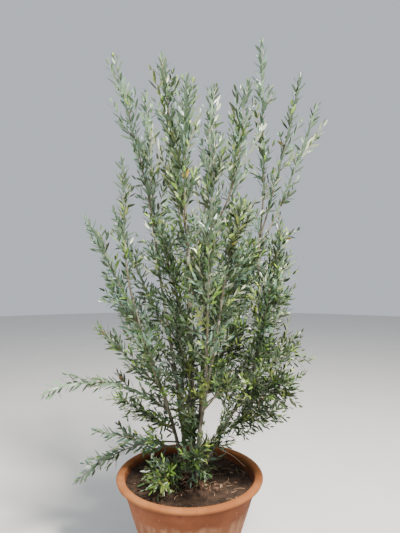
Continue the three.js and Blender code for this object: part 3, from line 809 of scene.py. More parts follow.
# %% Seeded numbers and directions
SEED = 7919
TURN = math.radians(137.5)
UPRIGHT = 0.99


def seeded(seed):
    """An endless row of numbers from 0 to 1 that is the same on every run."""
    state = seed
    while True:
        state = state * 16807 % 2147483647
        yield state / 2147483647


def off_axis(axes, angles, turns):
    """Directions at angles off the axes, turned about them. Takes one axis or a row of them."""
    axes = np.atleast_2d(axes)
    level = np.stack([-axes[:, 1], axes[:, 0], np.zeros(len(axes))], 1)
    level[np.abs(axes[:, 2]) >= UPRIGHT] = (1, 0, 0)
    level = unit(level)
    cos, sin = np.cos(turns)[..., None], np.sin(turns)[..., None]
    dots = (axes * level).sum(-1, keepdims=True)
    aside = level * cos + np.cross(axes, level) * sin + axes * dots * (1 - cos)
    return axes * np.cos(angles)[..., None] + aside * np.sin(angles)[..., None]


first_draws = seeded(SEED)
print("the row starts with", [round(next(first_draws), 3) for _ in range(3)])

# %% [markdown]
# A twig that would leave the mass's space, or touch a limb or the pot, is tried shorter and then left out.
# The space of a mass is where its own stem is nearer, by its reach, than the stem of any other mass, so
# neighbours meet at a border and never cross it.

# %% Distances and spaces
LIMB_CLEARANCE = 3 * MM
BORDER_CLEARANCE = 2 * MM


def distances(points, lines):
    """How far each point is from each line of a stack of lines."""
    starts = lines[:, :-1]
    spans = lines[:, 1:] - starts
    away = points[:, None, None] - starts
    share = np.clip((away * spans).sum(-1) / (spans**2).sum(-1), 0, 1)
    return np.linalg.norm(away - share[..., None] * spans, axis=-1).min(-1)


def clear_of_pot(points):
    """True where a point is above the rim, beside it, or in the pot's mouth above the soil."""
    radius = np.hypot(points[:, 0], points[:, 1])
    above = points[:, 2] > POT_HEIGHT + LIMB_CLEARANCE
    beside = radius > RIM_RADIUS + LIMB_CLEARANCE
    over_soil = points[:, 2] > SOIL_TOP + LIMB_CLEARANCE
    in_mouth = over_soil & (radius < inner_radius(SOIL_TOP) - LIMB_CLEARANCE)
    return above | beside | in_mouth


def clear_of_limbs(points, clearance):
    """True where a point keeps off every limb. A limb rises all the way, so height tells how thick it is."""
    heights = (points[:, None, 2] - limb_lines[:, 0, 2]) / (limb_lines[:, -1, 2] - limb_lines[:, 0, 2])
    along = np.clip(heights, 0, 1)
    radii = np.stack([limb_radius(limb, along[:, k]) for k, limb in enumerate(LIMBS)], 1)
    return (distances(points, limb_lines) >= radii + clearance).all(-1)


def in_space(mass, points):
    """True where a point is within the mass's reach and nearer to it than to any other mass."""
    away = distances(points, mass_lines)
    own = (away[:, mass["number"]] + BORDER_CLEARANCE) / mass["reach"]
    others = (away - BORDER_CLEARANCE) / reaches
    others[:, mass["number"]] = np.inf
    return (own <= 1) & (others.min(-1) >= own)


def fits(mass, points):
    """True when the mass may grow through all of the points."""
    clear = clear_of_pot(points) & clear_of_limbs(points, LIMB_CLEARANCE)
    return bool((clear & in_space(mass, points)).all())


free = sum(fits(mass, mass["path"].at([0.5])) for mass in MASSES)
print("masses whose stem is in free space halfway:", free, "of", len(MASSES))

# %% [markdown]
# Low on the right of the stems one can see through the tree. The opening is an upright oval that runs from
# the front to the back, where it lies lower. The finer shoots are kept out of it, and so are leaves, and
# the solid model's own twigs are left out where they enter it. Only the stems of two masses cross it.

# %% The clear opening
OPENING_MIDDLE = (99 * MM, 757 * MM)
OPENING_HALF = (27 * MM, 94 * MM)
OPENING_FALL = 0.325


def in_opening(points):
    """True in the clear opening low on the right of the stems."""
    across = (points[..., 0] - OPENING_MIDDLE[0]) / OPENING_HALF[0]
    up = (points[..., 2] + OPENING_FALL * points[..., 1] - OPENING_MIDDLE[1]) / OPENING_HALF[1]
    return across**2 + up**2 < 1


def outside_opening(path):
    """True when no place along the path is in the opening."""
    return not in_opening(path.line).any()


print("stems that cross the opening:", [m["name"] for m in MASSES if not outside_opening(m["path"])])

# %% [markdown]
# The solid masses bear a few twigs each, more on a long or wide mass. Their count, angles and lengths are
# written here as in the solid model, down to the order in which random numbers are drawn.

# %% The solid model's own twigs
TWIG_AREA = 13500 * MM * MM
TWIG_PLACES = (0.12, 0.9)
TWIG_ANGLES = (48, 30)
TWIG_ANGLE_SPREAD = 10
TWIG_SHARES = (1.05, 0.5)
TWIG_LENGTH_SPREAD = (0.8, 1.1)
TWIG_BARE = 0.3
TWIG_LIFT = 0.25
TWIG_TRIES = 3
TRY_SHORTER = 0.72
SHORTEST_TWIG = 55 * MM
SOLID_STRETCH = 120 * MM
FEWEST_STRETCHES = 3
TESTS = np.arange(1, 9) / 8


def lerp(pair, share):
    """From the first value of the pair at share 0 to the second at share 1."""
    return pair[0] + (pair[1] - pair[0]) * share


def fitted_twig(mass, place, start_way, full, shortest):
    """A twig's path at full length or shorter, or None where it doesn't fit."""
    end_way = unit(start_way + UP * TWIG_LIFT)
    length = full
    for _ in range(TWIG_TRIES):
        if length <= shortest:
            return None
        path = Path(place, place + (start_way + end_way) * length / 2, start_way, end_way)
        if fits(mass, path.at(TESTS)):
            return path
        length *= TRY_SHORTER
    return None


def on_stretch(path, along):
    """A place and its direction on the straight stretches that the solid stem is made of."""
    steps = max(FEWEST_STRETCHES, round(path.length / SOLID_STRETCH))
    first = min(steps - 1, int(along * steps))
    start, end = path.at([first / steps, (first + 1) / steps])
    return start + (end - start) * (along * steps - first), unit(end - start)


def first_twigs(mass, draw):
    """The twigs that the solid mass has too."""
    twigs = []
    count = round(mass["path"].length * mass["reach"] / TWIG_AREA)
    for k in range(count):
        along = lerp(TWIG_PLACES, (k + 0.5) / count)
        angle = math.radians(lerp(TWIG_ANGLES, along) + TWIG_ANGLE_SPREAD * (next(draw) - 0.5))
        turn = k * TURN + next(draw)
        allowed = (mass["reach"] - TWIG_BARE * SOLID_LEAF) / math.sin(angle)
        full = allowed * lerp(TWIG_SHARES, along) * lerp(TWIG_LENGTH_SPREAD, next(draw))
        place, axis = on_stretch(mass["path"], along)
        way = off_axis(axis, np.array([angle]), np.array([turn]))[0]
        path = fitted_twig(mass, place, way, full, SHORTEST_TWIG)
        if path:
            twigs.append(path)
    return twigs


print("twigs of the first mass:", len(first_twigs(MASSES[0], seeded(SEED))))

# %% [markdown]
# The solid twigs are few, because each solid leaf is large. The real shoots are many. So the rule is
# carried on to finer orders: side shoots leave the stem and every twig at even distances, by the same turn,
# the same lift and the same test of space, and sprigs leave the side shoots. The parts of the crown differ
# in habit: plumes have long shoots that run up beside their stem, clumps have short ones that spread.
# "beside" says how much longer than the rest of its parent a shoot may be, and "tip_leaf" how far below the
# tip the stem ends.

# %% The habit of each part of the crown
HABITS = {
    "plume": {"spacing": 70 * MM, "angles": (24, 14), "lengths": (160 * MM, 360 * MM), "beside": 0.8,
              "leaf_angle": 33, "leaf_size": (57 * MM, 13.5 * MM), "pair_spacing": 26 * MM,
              "tip_leaf": 8 * MM},
    "tuft": {"spacing": 26 * MM, "angles": (42, 26), "lengths": (90 * MM, 220 * MM), "beside": 2,
             "leaf_angle": 38, "leaf_size": (48 * MM, 10.5 * MM), "pair_spacing": 19 * MM,
             "tip_leaf": 34 * MM},
    "clump": {"spacing": 22 * MM, "angles": (50, 32), "lengths": (80 * MM, 190 * MM), "beside": 3,
              "leaf_angle": 44, "leaf_size": (46 * MM, 9.5 * MM), "pair_spacing": 17 * MM,
              "tip_leaf": 34 * MM},
    "shoot": {"spacing": 42 * MM, "angles": (40, 28), "lengths": (50 * MM, 120 * MM), "beside": 1.5,
              "leaf_angle": 40, "leaf_size": (58 * MM, 12.5 * MM), "pair_spacing": 19 * MM,
              "tip_leaf": 34 * MM},
}

# The plume in front stands among the tufts and looks like them. The spray on the soil is a low clump.
LOOKS_LIKE = {"plume_front": "tuft", "spray_on_soil": "clump"}


def word_of(mass):
    """The word for a mass's habit: plume, tuft, clump or shoot."""
    return LOOKS_LIKE.get(mass["name"], mass["name"].split("_")[0])


print("habits:", {word: sum(word_of(mass) == word for mass in MASSES) for word in HABITS})

# %% [markdown]
# Masses of one kind aren't equally full. The plumes on the right stand thin against the sky, the two in the
# middle are thick, the low clumps on the right are dense, and the left lets the light through. A number for
# each says how many shoots it bears beside the usual count. A mass that isn't named has the usual count.

# %% How full each mass is
FULLNESS = {
    "plume_far_left": 0.65, "plume_left_inner": 0.9, "plume_left_top": 1.6, "plume_middle": 1.7,
    "plume_middle_back": 0.9, "plume_right_inner": 0.9, "plume_top": 0.5, "plume_right_top": 0.3,
    "plume_far_right": 0.25, "plume_front": 0.9, "plume_back_right": 0.8,
    "tuft_left_middle": 0.45, "tuft_centre_front": 1.2, "tuft_centre_back": 0.8, "tuft_right": 1.1,
    "tuft_right_middle": 1.3,
    "clump_left_front": 0.5, "clump_left_low": 1.1, "clump_centre_left": 0.9, "clump_centre": 1.3,
    "clump_centre_back": 0.6, "clump_back_low": 0.5, "clump_front": 1.1, "clump_right_front": 1.5,
    "clump_right": 0.8, "clump_right_back": 1.2, "clump_right_low": 1.7, "clump_foot_right": 1.2,
    "clump_foot_front": 1.1,
    "shoot_left": 0.5, "shoot_left_back": 0.65, "shoot_arching": 0.7, "shoot_long_left": 0.5,
    "shoot_low_left": 0.7, "shoot_over_rim": 0.45, "shoot_by_trunk": 0.8,
    "spray_on_soil": 1.3,
}


def fullness(mass):
    """How many shoots the mass bears beside the usual count of its kind."""
    return FULLNESS.get(mass["name"], 1)


print("fullest:", max(MASSES, key=fullness)["name"], "thinnest:", min(MASSES, key=fullness)["name"])

# %% [markdown]
# The stem itself is grown on from where the solid's stem ends, up to its last leaves. Then shoots of the
# second order leave the stem and the twigs, and every other one of them bears two sprigs where the mass is
# full.

# %% Finer shoots by the same rule
SIDE_PLACES = (0.06, 0.93)
SHORTEST_SIDE = 36 * MM
SHORTER_AT_TIP = 0.5
SPRIG_SHARE = 0.45


def side_shoots(mass, parent, draw, size=1.0):
    """Leafy shoots along a parent path, longer below and shorter towards its tip."""
    habit = HABITS[word_of(mass)]
    found = []
    count = max(1, round(parent.length / habit["spacing"] * fullness(mass)))
    first_turn = 2 * math.pi * next(draw)
    for k in range(count):
        along = lerp(SIDE_PLACES, (k + next(draw)) / count)
        angle = math.radians(lerp(habit["angles"], along) + TWIG_ANGLE_SPREAD * (next(draw) - 0.5))
        full = lerp(habit["lengths"], next(draw)) * (1 - SHORTER_AT_TIP * along) * size
        full = min(full, parent.length * (1 - along) * habit["beside"])
        way = off_axis(parent.way(along), np.array([angle]), np.array([first_turn + k * TURN]))[0]
        path = fitted_twig(mass, parent.at(along)[0], way, full, SHORTEST_SIDE)
        if path and outside_opening(path):
            found.append(path)
    return found


def to_the_tip(mass):
    """The mass's stem, grown on from where the solid stem ends to its furthest leaves."""
    path = mass["path"]
    end_way = path.way(1)[0]
    more = SOLID_LEAF - HABITS[word_of(mass)]["tip_leaf"]
    return Path(path.pulls[0], path.pulls[3] + end_way * more, path.way(0)[0], end_way)


STEM_RADII = (4.6 * MM, 1.2 * MM)
TWIG_RADII = (2.4 * MM, 0.9 * MM)
SIDE_RADII = (1.4 * MM, 0.6 * MM)
SPRIG_RADII = (0.9 * MM, 0.5 * MM)
STEM_BARE = 0.16
SIDE_BARE = 0.1
SPRIGS = 2
shoots = []


def grow(mass, paths, radii, bare, order):
    """Adds shoots to the tree. "bare" is the share of a shoot's length, from its root, without leaves."""
    for path in paths:
        shoots.append({"mass": mass, "path": path, "radii": radii, "bare": bare, "order": order})


for mass in MASSES:
    draw = seeded(SEED * (mass["number"] + 1))
    twigs = [twig for twig in first_twigs(mass, draw) if outside_opening(twig)]
    stem = to_the_tip(mass)
    sides = [side for parent in [stem, *twigs] for side in side_shoots(mass, parent, draw)]
    grow(mass, [stem], STEM_RADII, STEM_BARE, 0)
    grow(mass, twigs, TWIG_RADII, TWIG_BARE / 2, 1)
    grow(mass, sides, SIDE_RADII, SIDE_BARE, 2)
    if word_of(mass) in ("tuft", "clump") and fullness(mass) >= 1:
        for side in sides[::2]:
            grow(mass, side_shoots(mass, side, draw, SPRIG_SHARE)[:SPRIGS], SPRIG_RADII, SIDE_BARE, 3)
print("shoots by order:", [sum(shoot["order"] == order for shoot in shoots) for order in range(4)])

# %% [markdown]
# Stems and boughs bear short leafy shoots too, all the way up from a bare foot, and these are what hides
# the wood in the middle of the tree. Each starts on the bark and belongs to the mass in whose space it
# grows.

# %% Short shoots on the stems and boughs
LIMB_SHOOT_SPACING = 13 * MM
LIMB_SHOOT_FROM = 600 * MM
LIMB_SHOOT_LENGTHS = (70 * MM, 150 * MM)
LIMB_SHOOT_ANGLE = 52


def limb_shoots(limb, draw):
    """Grows shoots on a limb's bark, and says how many found room."""
    path = limb["path"]
    grown = 0
    count = round(path.length / LIMB_SHOOT_SPACING)
    for k in range(count):
        along = (k + next(draw)) / count
        place, axis = path.at(along)[0], path.way(along)[0]
        angle = math.radians(LIMB_SHOOT_ANGLE + TWIG_ANGLE_SPREAD * (next(draw) - 0.5))
        way = off_axis(axis, np.array([angle]), np.array([k * TURN + next(draw)]))[0]
        full = lerp(LIMB_SHOOT_LENGTHS, next(draw))
        if place[2] < LIMB_SHOOT_FROM:
            continue
        spoke = unit(way - axis * np.dot(way, axis))
        place = place + spoke * limb_radius(limb, along)
        nearest = MASSES[int((distances((place + way * full / 2)[None], mass_lines)[0] / reaches).argmin())]
        shoot = fitted_twig(nearest, place, way, full, SHORTEST_SIDE)
        if shoot and outside_opening(shoot):
            grow(nearest, [shoot], SIDE_RADII, SIDE_BARE, 2)
            grown += 1
    return grown


draw = seeded(SEED)
print("shoots on the limbs:", sum(limb_shoots(limb, draw) for limb in LIMBS))

# %% [markdown]
# ## Twigs
#
# The older twigs are grey-brown like the bark, and the young shoots are grey-green. A finish that has its
# place on the plant is dealt out twig by twig as a plain colour, with only a fine bump from nodes. All the
# twigs of one part of the crown are joined into one piece.

# %% The twigs' finishes
def plain_finish(name, colour, roughness, specular, bump_scale, bump_depth):
    """A plain colour with a fine bump, for small things that have no room for a pattern."""
    finish = Finish(name, roughness, specular)
    finish.colour(linear(*colour))
    finish.bump(finish.noise(bump_scale, 2), bump_depth, 0.5)
    return finish.material


twig_finishes = [
    plain_finish("twig_grey_brown", (112, 104, 86), 0.8, 0.3, 260, 0.5 * MM),
    plain_finish("twig_tan", (124, 120, 92), 0.75, 0.3, 260, 0.4 * MM),
    plain_finish("twig_grey_green", (122, 132, 92), 0.65, 0.4, 300, 0.3 * MM),
]

print("twig finishes:", [finish.name for finish in twig_finishes])

# %% The parts of the crown
MIDDLE_X = 60


def part_of(mass):
    """The piece of the crown that the mass belongs to, such as the plumes on the left."""
    if word_of(mass) == "shoot":
        return "shoots"
    return word_of(mass) + ("s_left" if mass["tip"][0] < MIDDLE_X else "s_right")


PARTS = sorted({part_of(mass) for mass in MASSES})
print("parts of the crown:", PARTS)

# %% Twigs of each part of the crown
TWIG_STEP = 26 * MM
TWIG_SIDES = (8, 6, 5, 4)
TWIG_FINISH = (0, 1, 2, 2)


def twig_arrays(chosen):
    """Points, faces and finish numbers of all the chosen shoots together, with sides and finish by order."""
    points, quads, ends, quad_slots, end_slots = [], [], [], [], []
    total = 0
    for shoot in chosen:
        shares = np.linspace(0, 1, max(4, round(shoot["path"].length / TWIG_STEP)))
        radii = lerp(shoot["radii"], shares)
        sides = TWIG_SIDES[shoot["order"]]
        made = tube(shoot["path"].at(shares), shoot["path"].way(shares), radii, sides, total)
        points.append(made[0])
        quads.append(made[1])
        ends.append(made[2])
        quad_slots.append(np.full(len(made[1]), TWIG_FINISH[shoot["order"]]))
        end_slots.append(np.full(len(made[2]), TWIG_FINISH[shoot["order"]]))
        total += len(made[0])
    slots = np.concatenate(quad_slots + end_slots)
    return np.concatenate(points), [np.concatenate(quads), np.concatenate(ends)], slots


for part in PARTS:
    chosen = [shoot for shoot in shoots if part_of(shoot["mass"]) == part]
    points, faces, slots = twig_arrays(chosen)
    piece = new_piece("twigs_" + part, points, faces, twig_finishes, slots)
    on_frame(piece, "bark", *("foliage_" + m["name"] for m in MASSES if part_of(m) == part))

# %% [markdown]
# ## One leaf
#
# An olive leaf is narrow and leathery, dark grey-green above and silvery below, about 50 mm long and a
# little over a fifth as wide. Its mesh is a closed sliver: an outline through four stations, a raised
# midrib on the upper side and a flat underside, 24 triangles in all. It is written once as numbers along,
# across and up, and every leaf of the tree is that one stretched, bent and placed.

# %% The leaf's outline
LEAF_RIDGE = 0.9 * MM
STATIONS = np.array([0.08, 0.30, 0.58, 0.84])
HALF_WIDTHS = np.array([0.14, 0.84, 1.0, 0.60])
RIDGE = np.array([0.5, 1.0, 0.9, 0.55])


def leaf_template():
    """Corners (along, across, up) and triangles of a leaf, with 1 for each triangle of the underside."""
    corners = [(0, 0, 0)]
    for along, half, ridge in zip(STATIONS, HALF_WIDTHS, RIDGE):
        corners += [(along, half, 0), (along, 0, ridge), (along, -half, 0)]
    corners.append((1, 0, 0))
    tip = len(corners) - 1
    upper = [(0, 2, 1), (0, 3, 2)]
    under = [(0, 1, 3)]
    for k in range(len(STATIONS) - 1):
        left, ridge, right = (1 + 3 * k + i for i in range(3))
        upper += [(left, ridge, ridge + 3), (left, ridge + 3, left + 3)]
        upper += [(ridge, right, right + 3), (ridge, right + 3, ridge + 3)]
        under += [(left, left + 3, right + 3), (left, right + 3, right)]
    left, ridge, right = tip - 3, tip - 2, tip - 1
    upper += [(left, ridge, tip), (ridge, right, tip)]
    under += [(left, tip, right)]
    sides = np.array([0] * len(upper) + [1] * len(under))
    return np.array(corners, float), np.array(upper + under), sides


LEAF_CORNERS, LEAF_FACES, LEAF_SIDES = leaf_template()
print("a leaf has", len(LEAF_CORNERS), "corners and", len(LEAF_FACES), "triangles")


# %% Many leaves at once
def leaf_arrays(roots, ways, facings, lengths, widths, bends, uppers, unders):
    """Points, triangles and finish numbers of all the leaves together."""
    count = len(roots)
    across = unit(np.cross(ways, facings))
    up = np.cross(across, ways)
    along = LEAF_CORNERS[:, 0]
    bend = -bends[:, None] * lengths[:, None] * along**2
    points = roots[:, None] + ways[:, None] * (lengths[:, None] * along)[..., None]
    points += across[:, None] * (widths[:, None] / 2 * LEAF_CORNERS[:, 1])[..., None]
    points += up[:, None] * (LEAF_RIDGE * LEAF_CORNERS[:, 2] + bend)[..., None]
    faces = LEAF_FACES + np.arange(count)[:, None, None] * len(LEAF_CORNERS)
    slots = np.where(LEAF_SIDES, unders[:, None], uppers[:, None])
    return points.reshape(-1, 3), faces.reshape(-1, 3), slots.ravel()


one = leaf_arrays(np.zeros((1, 3)), UP[None], np.array([[1.0, 0.0, 0.0]]), np.array([50 * MM]),
                  np.array([11 * MM]), np.zeros(1), np.zeros(1, int), np.ones(1, int))
print("a leaf of 50 by 11 mm spans", np.round(np.ptp(one[0], axis=0) / MM, 1), "mm")

# %% [markdown]
# ## Colours of the leaves
#
# No two sprays are quite the same green. Some are deep green, some grey-green, some olive. The youngest
# pairs at a tip are yellow-green, and here and there an old leaf at a shoot's base has turned yellow or
# orange. Each spray is dealt one plain green from a short list, with its own mix in each part of the crown.

# %% The leaves' finishes
LEAF_COLOURS = {
    "leaf_deep_green": (33, 48, 24),
    "leaf_mid_green": (54, 78, 40),
    "leaf_grey_green": (86, 114, 96),
    "leaf_olive": (88, 98, 42),
    "leaf_fresh_green": (98, 128, 48),
    "leaf_lime": (154, 178, 66),
    # The real silvery underside, made brighter as a painted highlight of sunlit glints.
    "leaf_underside_silver_and_glint": (196, 204, 172),
    "leaf_underside_sage": (112, 136, 108),
    # A darker copy of the underside: painted shade for leaves that stand in shade.
    "leaf_underside_painted_shade": (64, 78, 42),
    "leaf_yellow": (176, 150, 66),
    "leaf_orange": (150, 106, 60),
    "leaf_dry_tan": (144, 116, 92),
    "leaf_dry_rust": (108, 72, 54),
}
LEAF_ROUGHNESS = 0.36
LEAF_SHINE = 0.55
LEAF_GRAIN = 420
LEAF_GRAIN_DEPTH = 0.25 * MM
leaf_names = list(LEAF_COLOURS)
leaf_finishes = [plain_finish(name, colour, LEAF_ROUGHNESS, LEAF_SHINE, LEAF_GRAIN, LEAF_GRAIN_DEPTH)
                 for name, colour in LEAF_COLOURS.items()]


def number_of(name):
    """The finish's number in the list, as the faces of a mesh ask for it."""
    return leaf_names.index(name)


print("leaf finishes:", len(leaf_finishes), "and yellow is number", number_of("leaf_yellow"))

# %% [markdown]
# A mix gives the shares of the five greens for the upper sides, and of the three finishes for the
# undersides. The plumes stand in full light, so their mix leans to the lighter grey-green as painted light.
# The clumps low on the right stand in shade, so their mix leans to deep green and the dark underside as
# painted shade.

# %% The mix of each part of the crown
GREENS = [number_of(name) for name in
          ("leaf_deep_green", "leaf_mid_green", "leaf_grey_green", "leaf_olive", "leaf_fresh_green")]
UNDERSIDES = [number_of(name) for name in
              ("leaf_underside_silver_and_glint", "leaf_underside_sage", "leaf_underside_painted_shade")]
# Painted light and shade: the plume mix leans to lighter greens, the clumps_right mix to deep green and the
# dark underside.
MIXES = {
    "plume": {"upper": (0.14, 0.24, 0.44, 0.10, 0.08), "under": (0.12, 0.66, 0.22)},
    "tuft": {"upper": (0.32, 0.34, 0.14, 0.10, 0.10), "under": (0.26, 0.39, 0.35)},
    "clump": {"upper": (0.36, 0.36, 0.08, 0.14, 0.06), "under": (0.07, 0.45, 0.48)},
    "clumps_right": {"upper": (0.72, 0.17, 0.01, 0.08, 0.02), "under": (0.06, 0.14, 0.80)},
    "shoot": {"upper": (0.24, 0.34, 0.16, 0.12, 0.14), "under": (0.14, 0.46, 0.40)},
}


def mix_of(mass):
    """The mix of the mass's part of the crown, or else of its kind."""
    return MIXES.get(part_of(mass), MIXES[word_of(mass)])


print("share of deep green:", {part_of(mass): mix_of(mass)["upper"][0] for mass in MASSES})

# %% [markdown]
# ## Leaves on the shoots
#
# Olive leaves sit in opposite pairs, each pair crosswise to the one before, about 40 degrees off the shoot.
# The upper side faces the shoot's tip, give or take a twist. Towards the tip they are smaller and more
# upright. A number between 0 and 1 says how young a leaf is, from its distance to the tip.

# %% How leaves vary
LEADER_CLOSER = 0.75
TIP_LEAF_ANGLE = 18
YOUNG_LENGTH = 55 * MM
TURN_STRAY = 0.22
ANGLE_STRAY = 7
TWIST_STRAY = 0.55
LENGTH_SHARES = (0.78, 1.14)
WIDTH_SHARES = (0.85, 1.12)
BEND_SHARES = (-0.06, 0.14)
YOUNG_SHORTER = 0.42
YOUNG_NARROWER = 0.3
FRESH_TIPS = 0.3
FRESH_FROM = 0.3
LIME_TIPS = 0.2
LIME_FROM = 0.5
TURNED_PAIRS = 0.009
TURNED_YELLOW = 0.6
rng = np.random.default_rng(SEED)
print("leaf lengths in mm:", {word: [round(habit["leaf_size"][0] * share / MM) for share in LENGTH_SHARES]
                              for word, habit in HABITS.items()})


# %% The leaves of one shoot
def finishes_of(shoot, young):
    """Finish numbers for the upper and under sides of a shoot's leaves."""
    mix = mix_of(shoot["mass"])
    uppers = np.full(len(young), rng.choice(GREENS, p=mix["upper"]))
    fresh = rng.random() < FRESH_TIPS
    if fresh:
        uppers[young > FRESH_FROM] = number_of("leaf_fresh_green")
    if fresh and rng.random() < LIME_TIPS:
        uppers[young > LIME_FROM] = number_of("leaf_lime")
    if rng.random() < TURNED_PAIRS:
        uppers[:2] = number_of("leaf_yellow") if rng.random() < TURNED_YELLOW else number_of("leaf_orange")
    under = rng.choice(UNDERSIDES, p=mix["under"])
    if shoot["order"] == 0:
        under = number_of("leaf_underside_sage")
    return uppers, np.where(uppers >= number_of("leaf_yellow"), uppers, under)


def leaves_of(shoot):
    """One row for each leaf of a shoot: root, way, facing, length, width, bend, upper and under finish."""
    path = shoot["path"]
    habit = HABITS[word_of(shoot["mass"])]
    spacing = habit["pair_spacing"] * (LEADER_CLOSER if shoot["order"] == 0 else 1)
    pairs = max(2, round(path.length * (1 - shoot["bare"]) / spacing))
    shares = np.repeat(np.linspace(shoot["bare"], 1, pairs), 2)
    count = len(shares)
    young = np.clip(1 - (1 - shares) * path.length / YOUNG_LENGTH, 0, 1)
    crosswise = np.repeat(np.arange(pairs) * math.pi / 2, 2) + np.tile([0, math.pi], pairs)
    turns = 2 * math.pi * rng.random() + crosswise + rng.normal(0, TURN_STRAY, count)
    wide = habit["leaf_angle"]
    angles = np.radians(wide + (TIP_LEAF_ANGLE - wide) * young + rng.normal(0, ANGLE_STRAY, count))
    axes = path.way(shares)
    ways = off_axis(axes, angles, turns)
    facings = unit(axes - ways * (axes * ways).sum(-1, keepdims=True))
    facings = unit(facings + np.cross(ways, facings) * rng.normal(0, TWIST_STRAY, (count, 1)))
    length, width = habit["leaf_size"]
    lengths = length * rng.uniform(*LENGTH_SHARES, count) * (1 - YOUNG_SHORTER * young)
    widths = width * rng.uniform(*WIDTH_SHARES, count) * (1 - YOUNG_NARROWER * young)
    bends = rng.uniform(*BEND_SHARES, count)
    return path.at(shares), ways, facings, lengths, widths, bends, *finishes_of(shoot, young)


# %% [markdown]
# A leaf is left out when its middle or tip would leave the reach of its mass, touch a limb or the pot,
# enter the opening, or stand further than a few centimetres outside the solid model's box.

# %% Leaves that fit
LEAF_CLEARANCE = 1 * MM
BOX_MARGIN = 32 * MM
box_low = np.array(solid_box[0]) - BOX_MARGIN
box_high = np.array(solid_box[1]) + BOX_MARGIN


def fitting_leaves(mass, rows):
    """Only the leaves that keep to the mass's reach, near the solid's box and clear of limbs and pot."""
    roots, ways, _, lengths = rows[:4]
    keep = np.ones(len(roots), bool)
    for share in (0.5, 1.0):
        points = roots + ways * lengths[:, None] * share
        keep &= ((points > box_low) & (points < box_high)).all(-1)
        keep &= distances(points, mass_lines[mass["number"]][None])[:, 0] <= mass["reach"]
        keep &= clear_of_pot(points) & clear_of_limbs(points, LEAF_CLEARANCE) & ~in_opening(points)
    return [row[keep] for row in rows]


print("leaves may reach up to", round(float(box_high[2]), 3), "m")

# %% The leaves of each part of the crown
for part in PARTS:
    rows = []
    for mass in (m for m in MASSES if part_of(m) == part):
        sprays = [leaves_of(shoot) for shoot in shoots if shoot["mass"] is mass]
        rows.append(fitting_leaves(mass, [np.concatenate(row) for row in zip(*sprays)]))
    rows = [np.concatenate(row) for row in zip(*rows)]
    points, faces, slots = leaf_arrays(*rows)
    print("leaves of the", part.replace("_", " on the ") + ":", len(rows[0]))
    piece = new_piece("leaves_" + part, points, [faces], leaf_finishes, slots, smooth=False)
    on_frame(piece, "foliage", *("foliage_" + m["name"] for m in MASSES if part_of(m) == part))

# %% [markdown]
# ## What lies on the soil
#
# Moist soil crumbles. Noise in the surface gives the swells, but crumbs stand free, so they are a piece of
# their own: one small many-sided lump, copied about a thousand times with each corner pushed in or out by
# chance.

# %% Crumbs of soil
CRUMBS = 1100
CRUMB_REACH = 0.97
SMALLEST_CRUMB = 0.8 * MM
LARGEST_CRUMB = 8 * MM
CRUMB_FLATNESS = [1, 1, 0.7]
crumb_rng = np.random.default_rng(SEED + 1)


def lump():
    """Corners and triangles of a small round lump."""
    shape = bmesh.new()
    bmesh.ops.create_icosphere(shape, subdivisions=1, radius=1)
    corners = np.array([v.co for v in shape.verts])
    faces = np.array([[v.index for v in f.verts] for f in shape.faces])
    shape.free()
    return corners, faces


lump_corners, lump_faces = lump()
crumb_radius = soil_edge * np.sqrt(crumb_rng.random(CRUMBS)) * CRUMB_REACH
crumb_angle = crumb_rng.random(CRUMBS) * 2 * math.pi
crumb_xy = np.stack([crumb_radius * np.cos(crumb_angle), crumb_radius * np.sin(crumb_angle)], 1)
crumb_z = np.array([soil_height(x, y) for x, y in crumb_xy])
crumb_size = np.minimum(crumb_rng.gamma(2.2, 1.1 * MM, CRUMBS) + SMALLEST_CRUMB, LARGEST_CRUMB)
crumb_points = lump_corners * crumb_rng.uniform(0.65, 1.25, (CRUMBS, len(lump_corners), 1))
crumb_points = crumb_points * (crumb_size[:, None] * CRUMB_FLATNESS)[:, None]
crumb_points += np.column_stack([crumb_xy, crumb_z])[:, None]
crumb_faces = lump_faces + np.arange(CRUMBS)[:, None, None] * len(lump_corners)
crumb_piece = new_piece("soil_crumbs", crumb_points.reshape(-1, 3), [crumb_faces.reshape(-1, 3)],
                        [earth.material], smooth=False)
on_frame(crumb_piece, "potting_soil", "soil")

# %% [markdown]
# Half of the dry leaves lie in a small heap in front of the foot, and the rest all over the soil. They reuse
# the leaf of the tree at half its size, because a dry leaf shrivels, with more bend and in tan and rust.

# %% Fallen leaves
FALLEN = 130
FALLEN_LENGTH = 27 * MM
FALLEN_WIDTH = 5.5 * MM
DRY = [number_of(name) for name in ("leaf_dry_tan", "leaf_dry_rust", "leaf_orange", "leaf_olive")]
fall_rng = np.random.default_rng(SEED + 2)


def lying(centre, spread, count):
    """Places on the soil, gathered round a centre."""
    places = centre + fall_rng.normal(0, spread, (count, 2))
    reach = np.hypot(places[:, 0], places[:, 1])
    places *= np.minimum(1, (soil_edge - 30 * MM) / reach)[:, None]
    return np.array([(x, y, soil_height(x, y) + 3 * MM) for x, y in places])


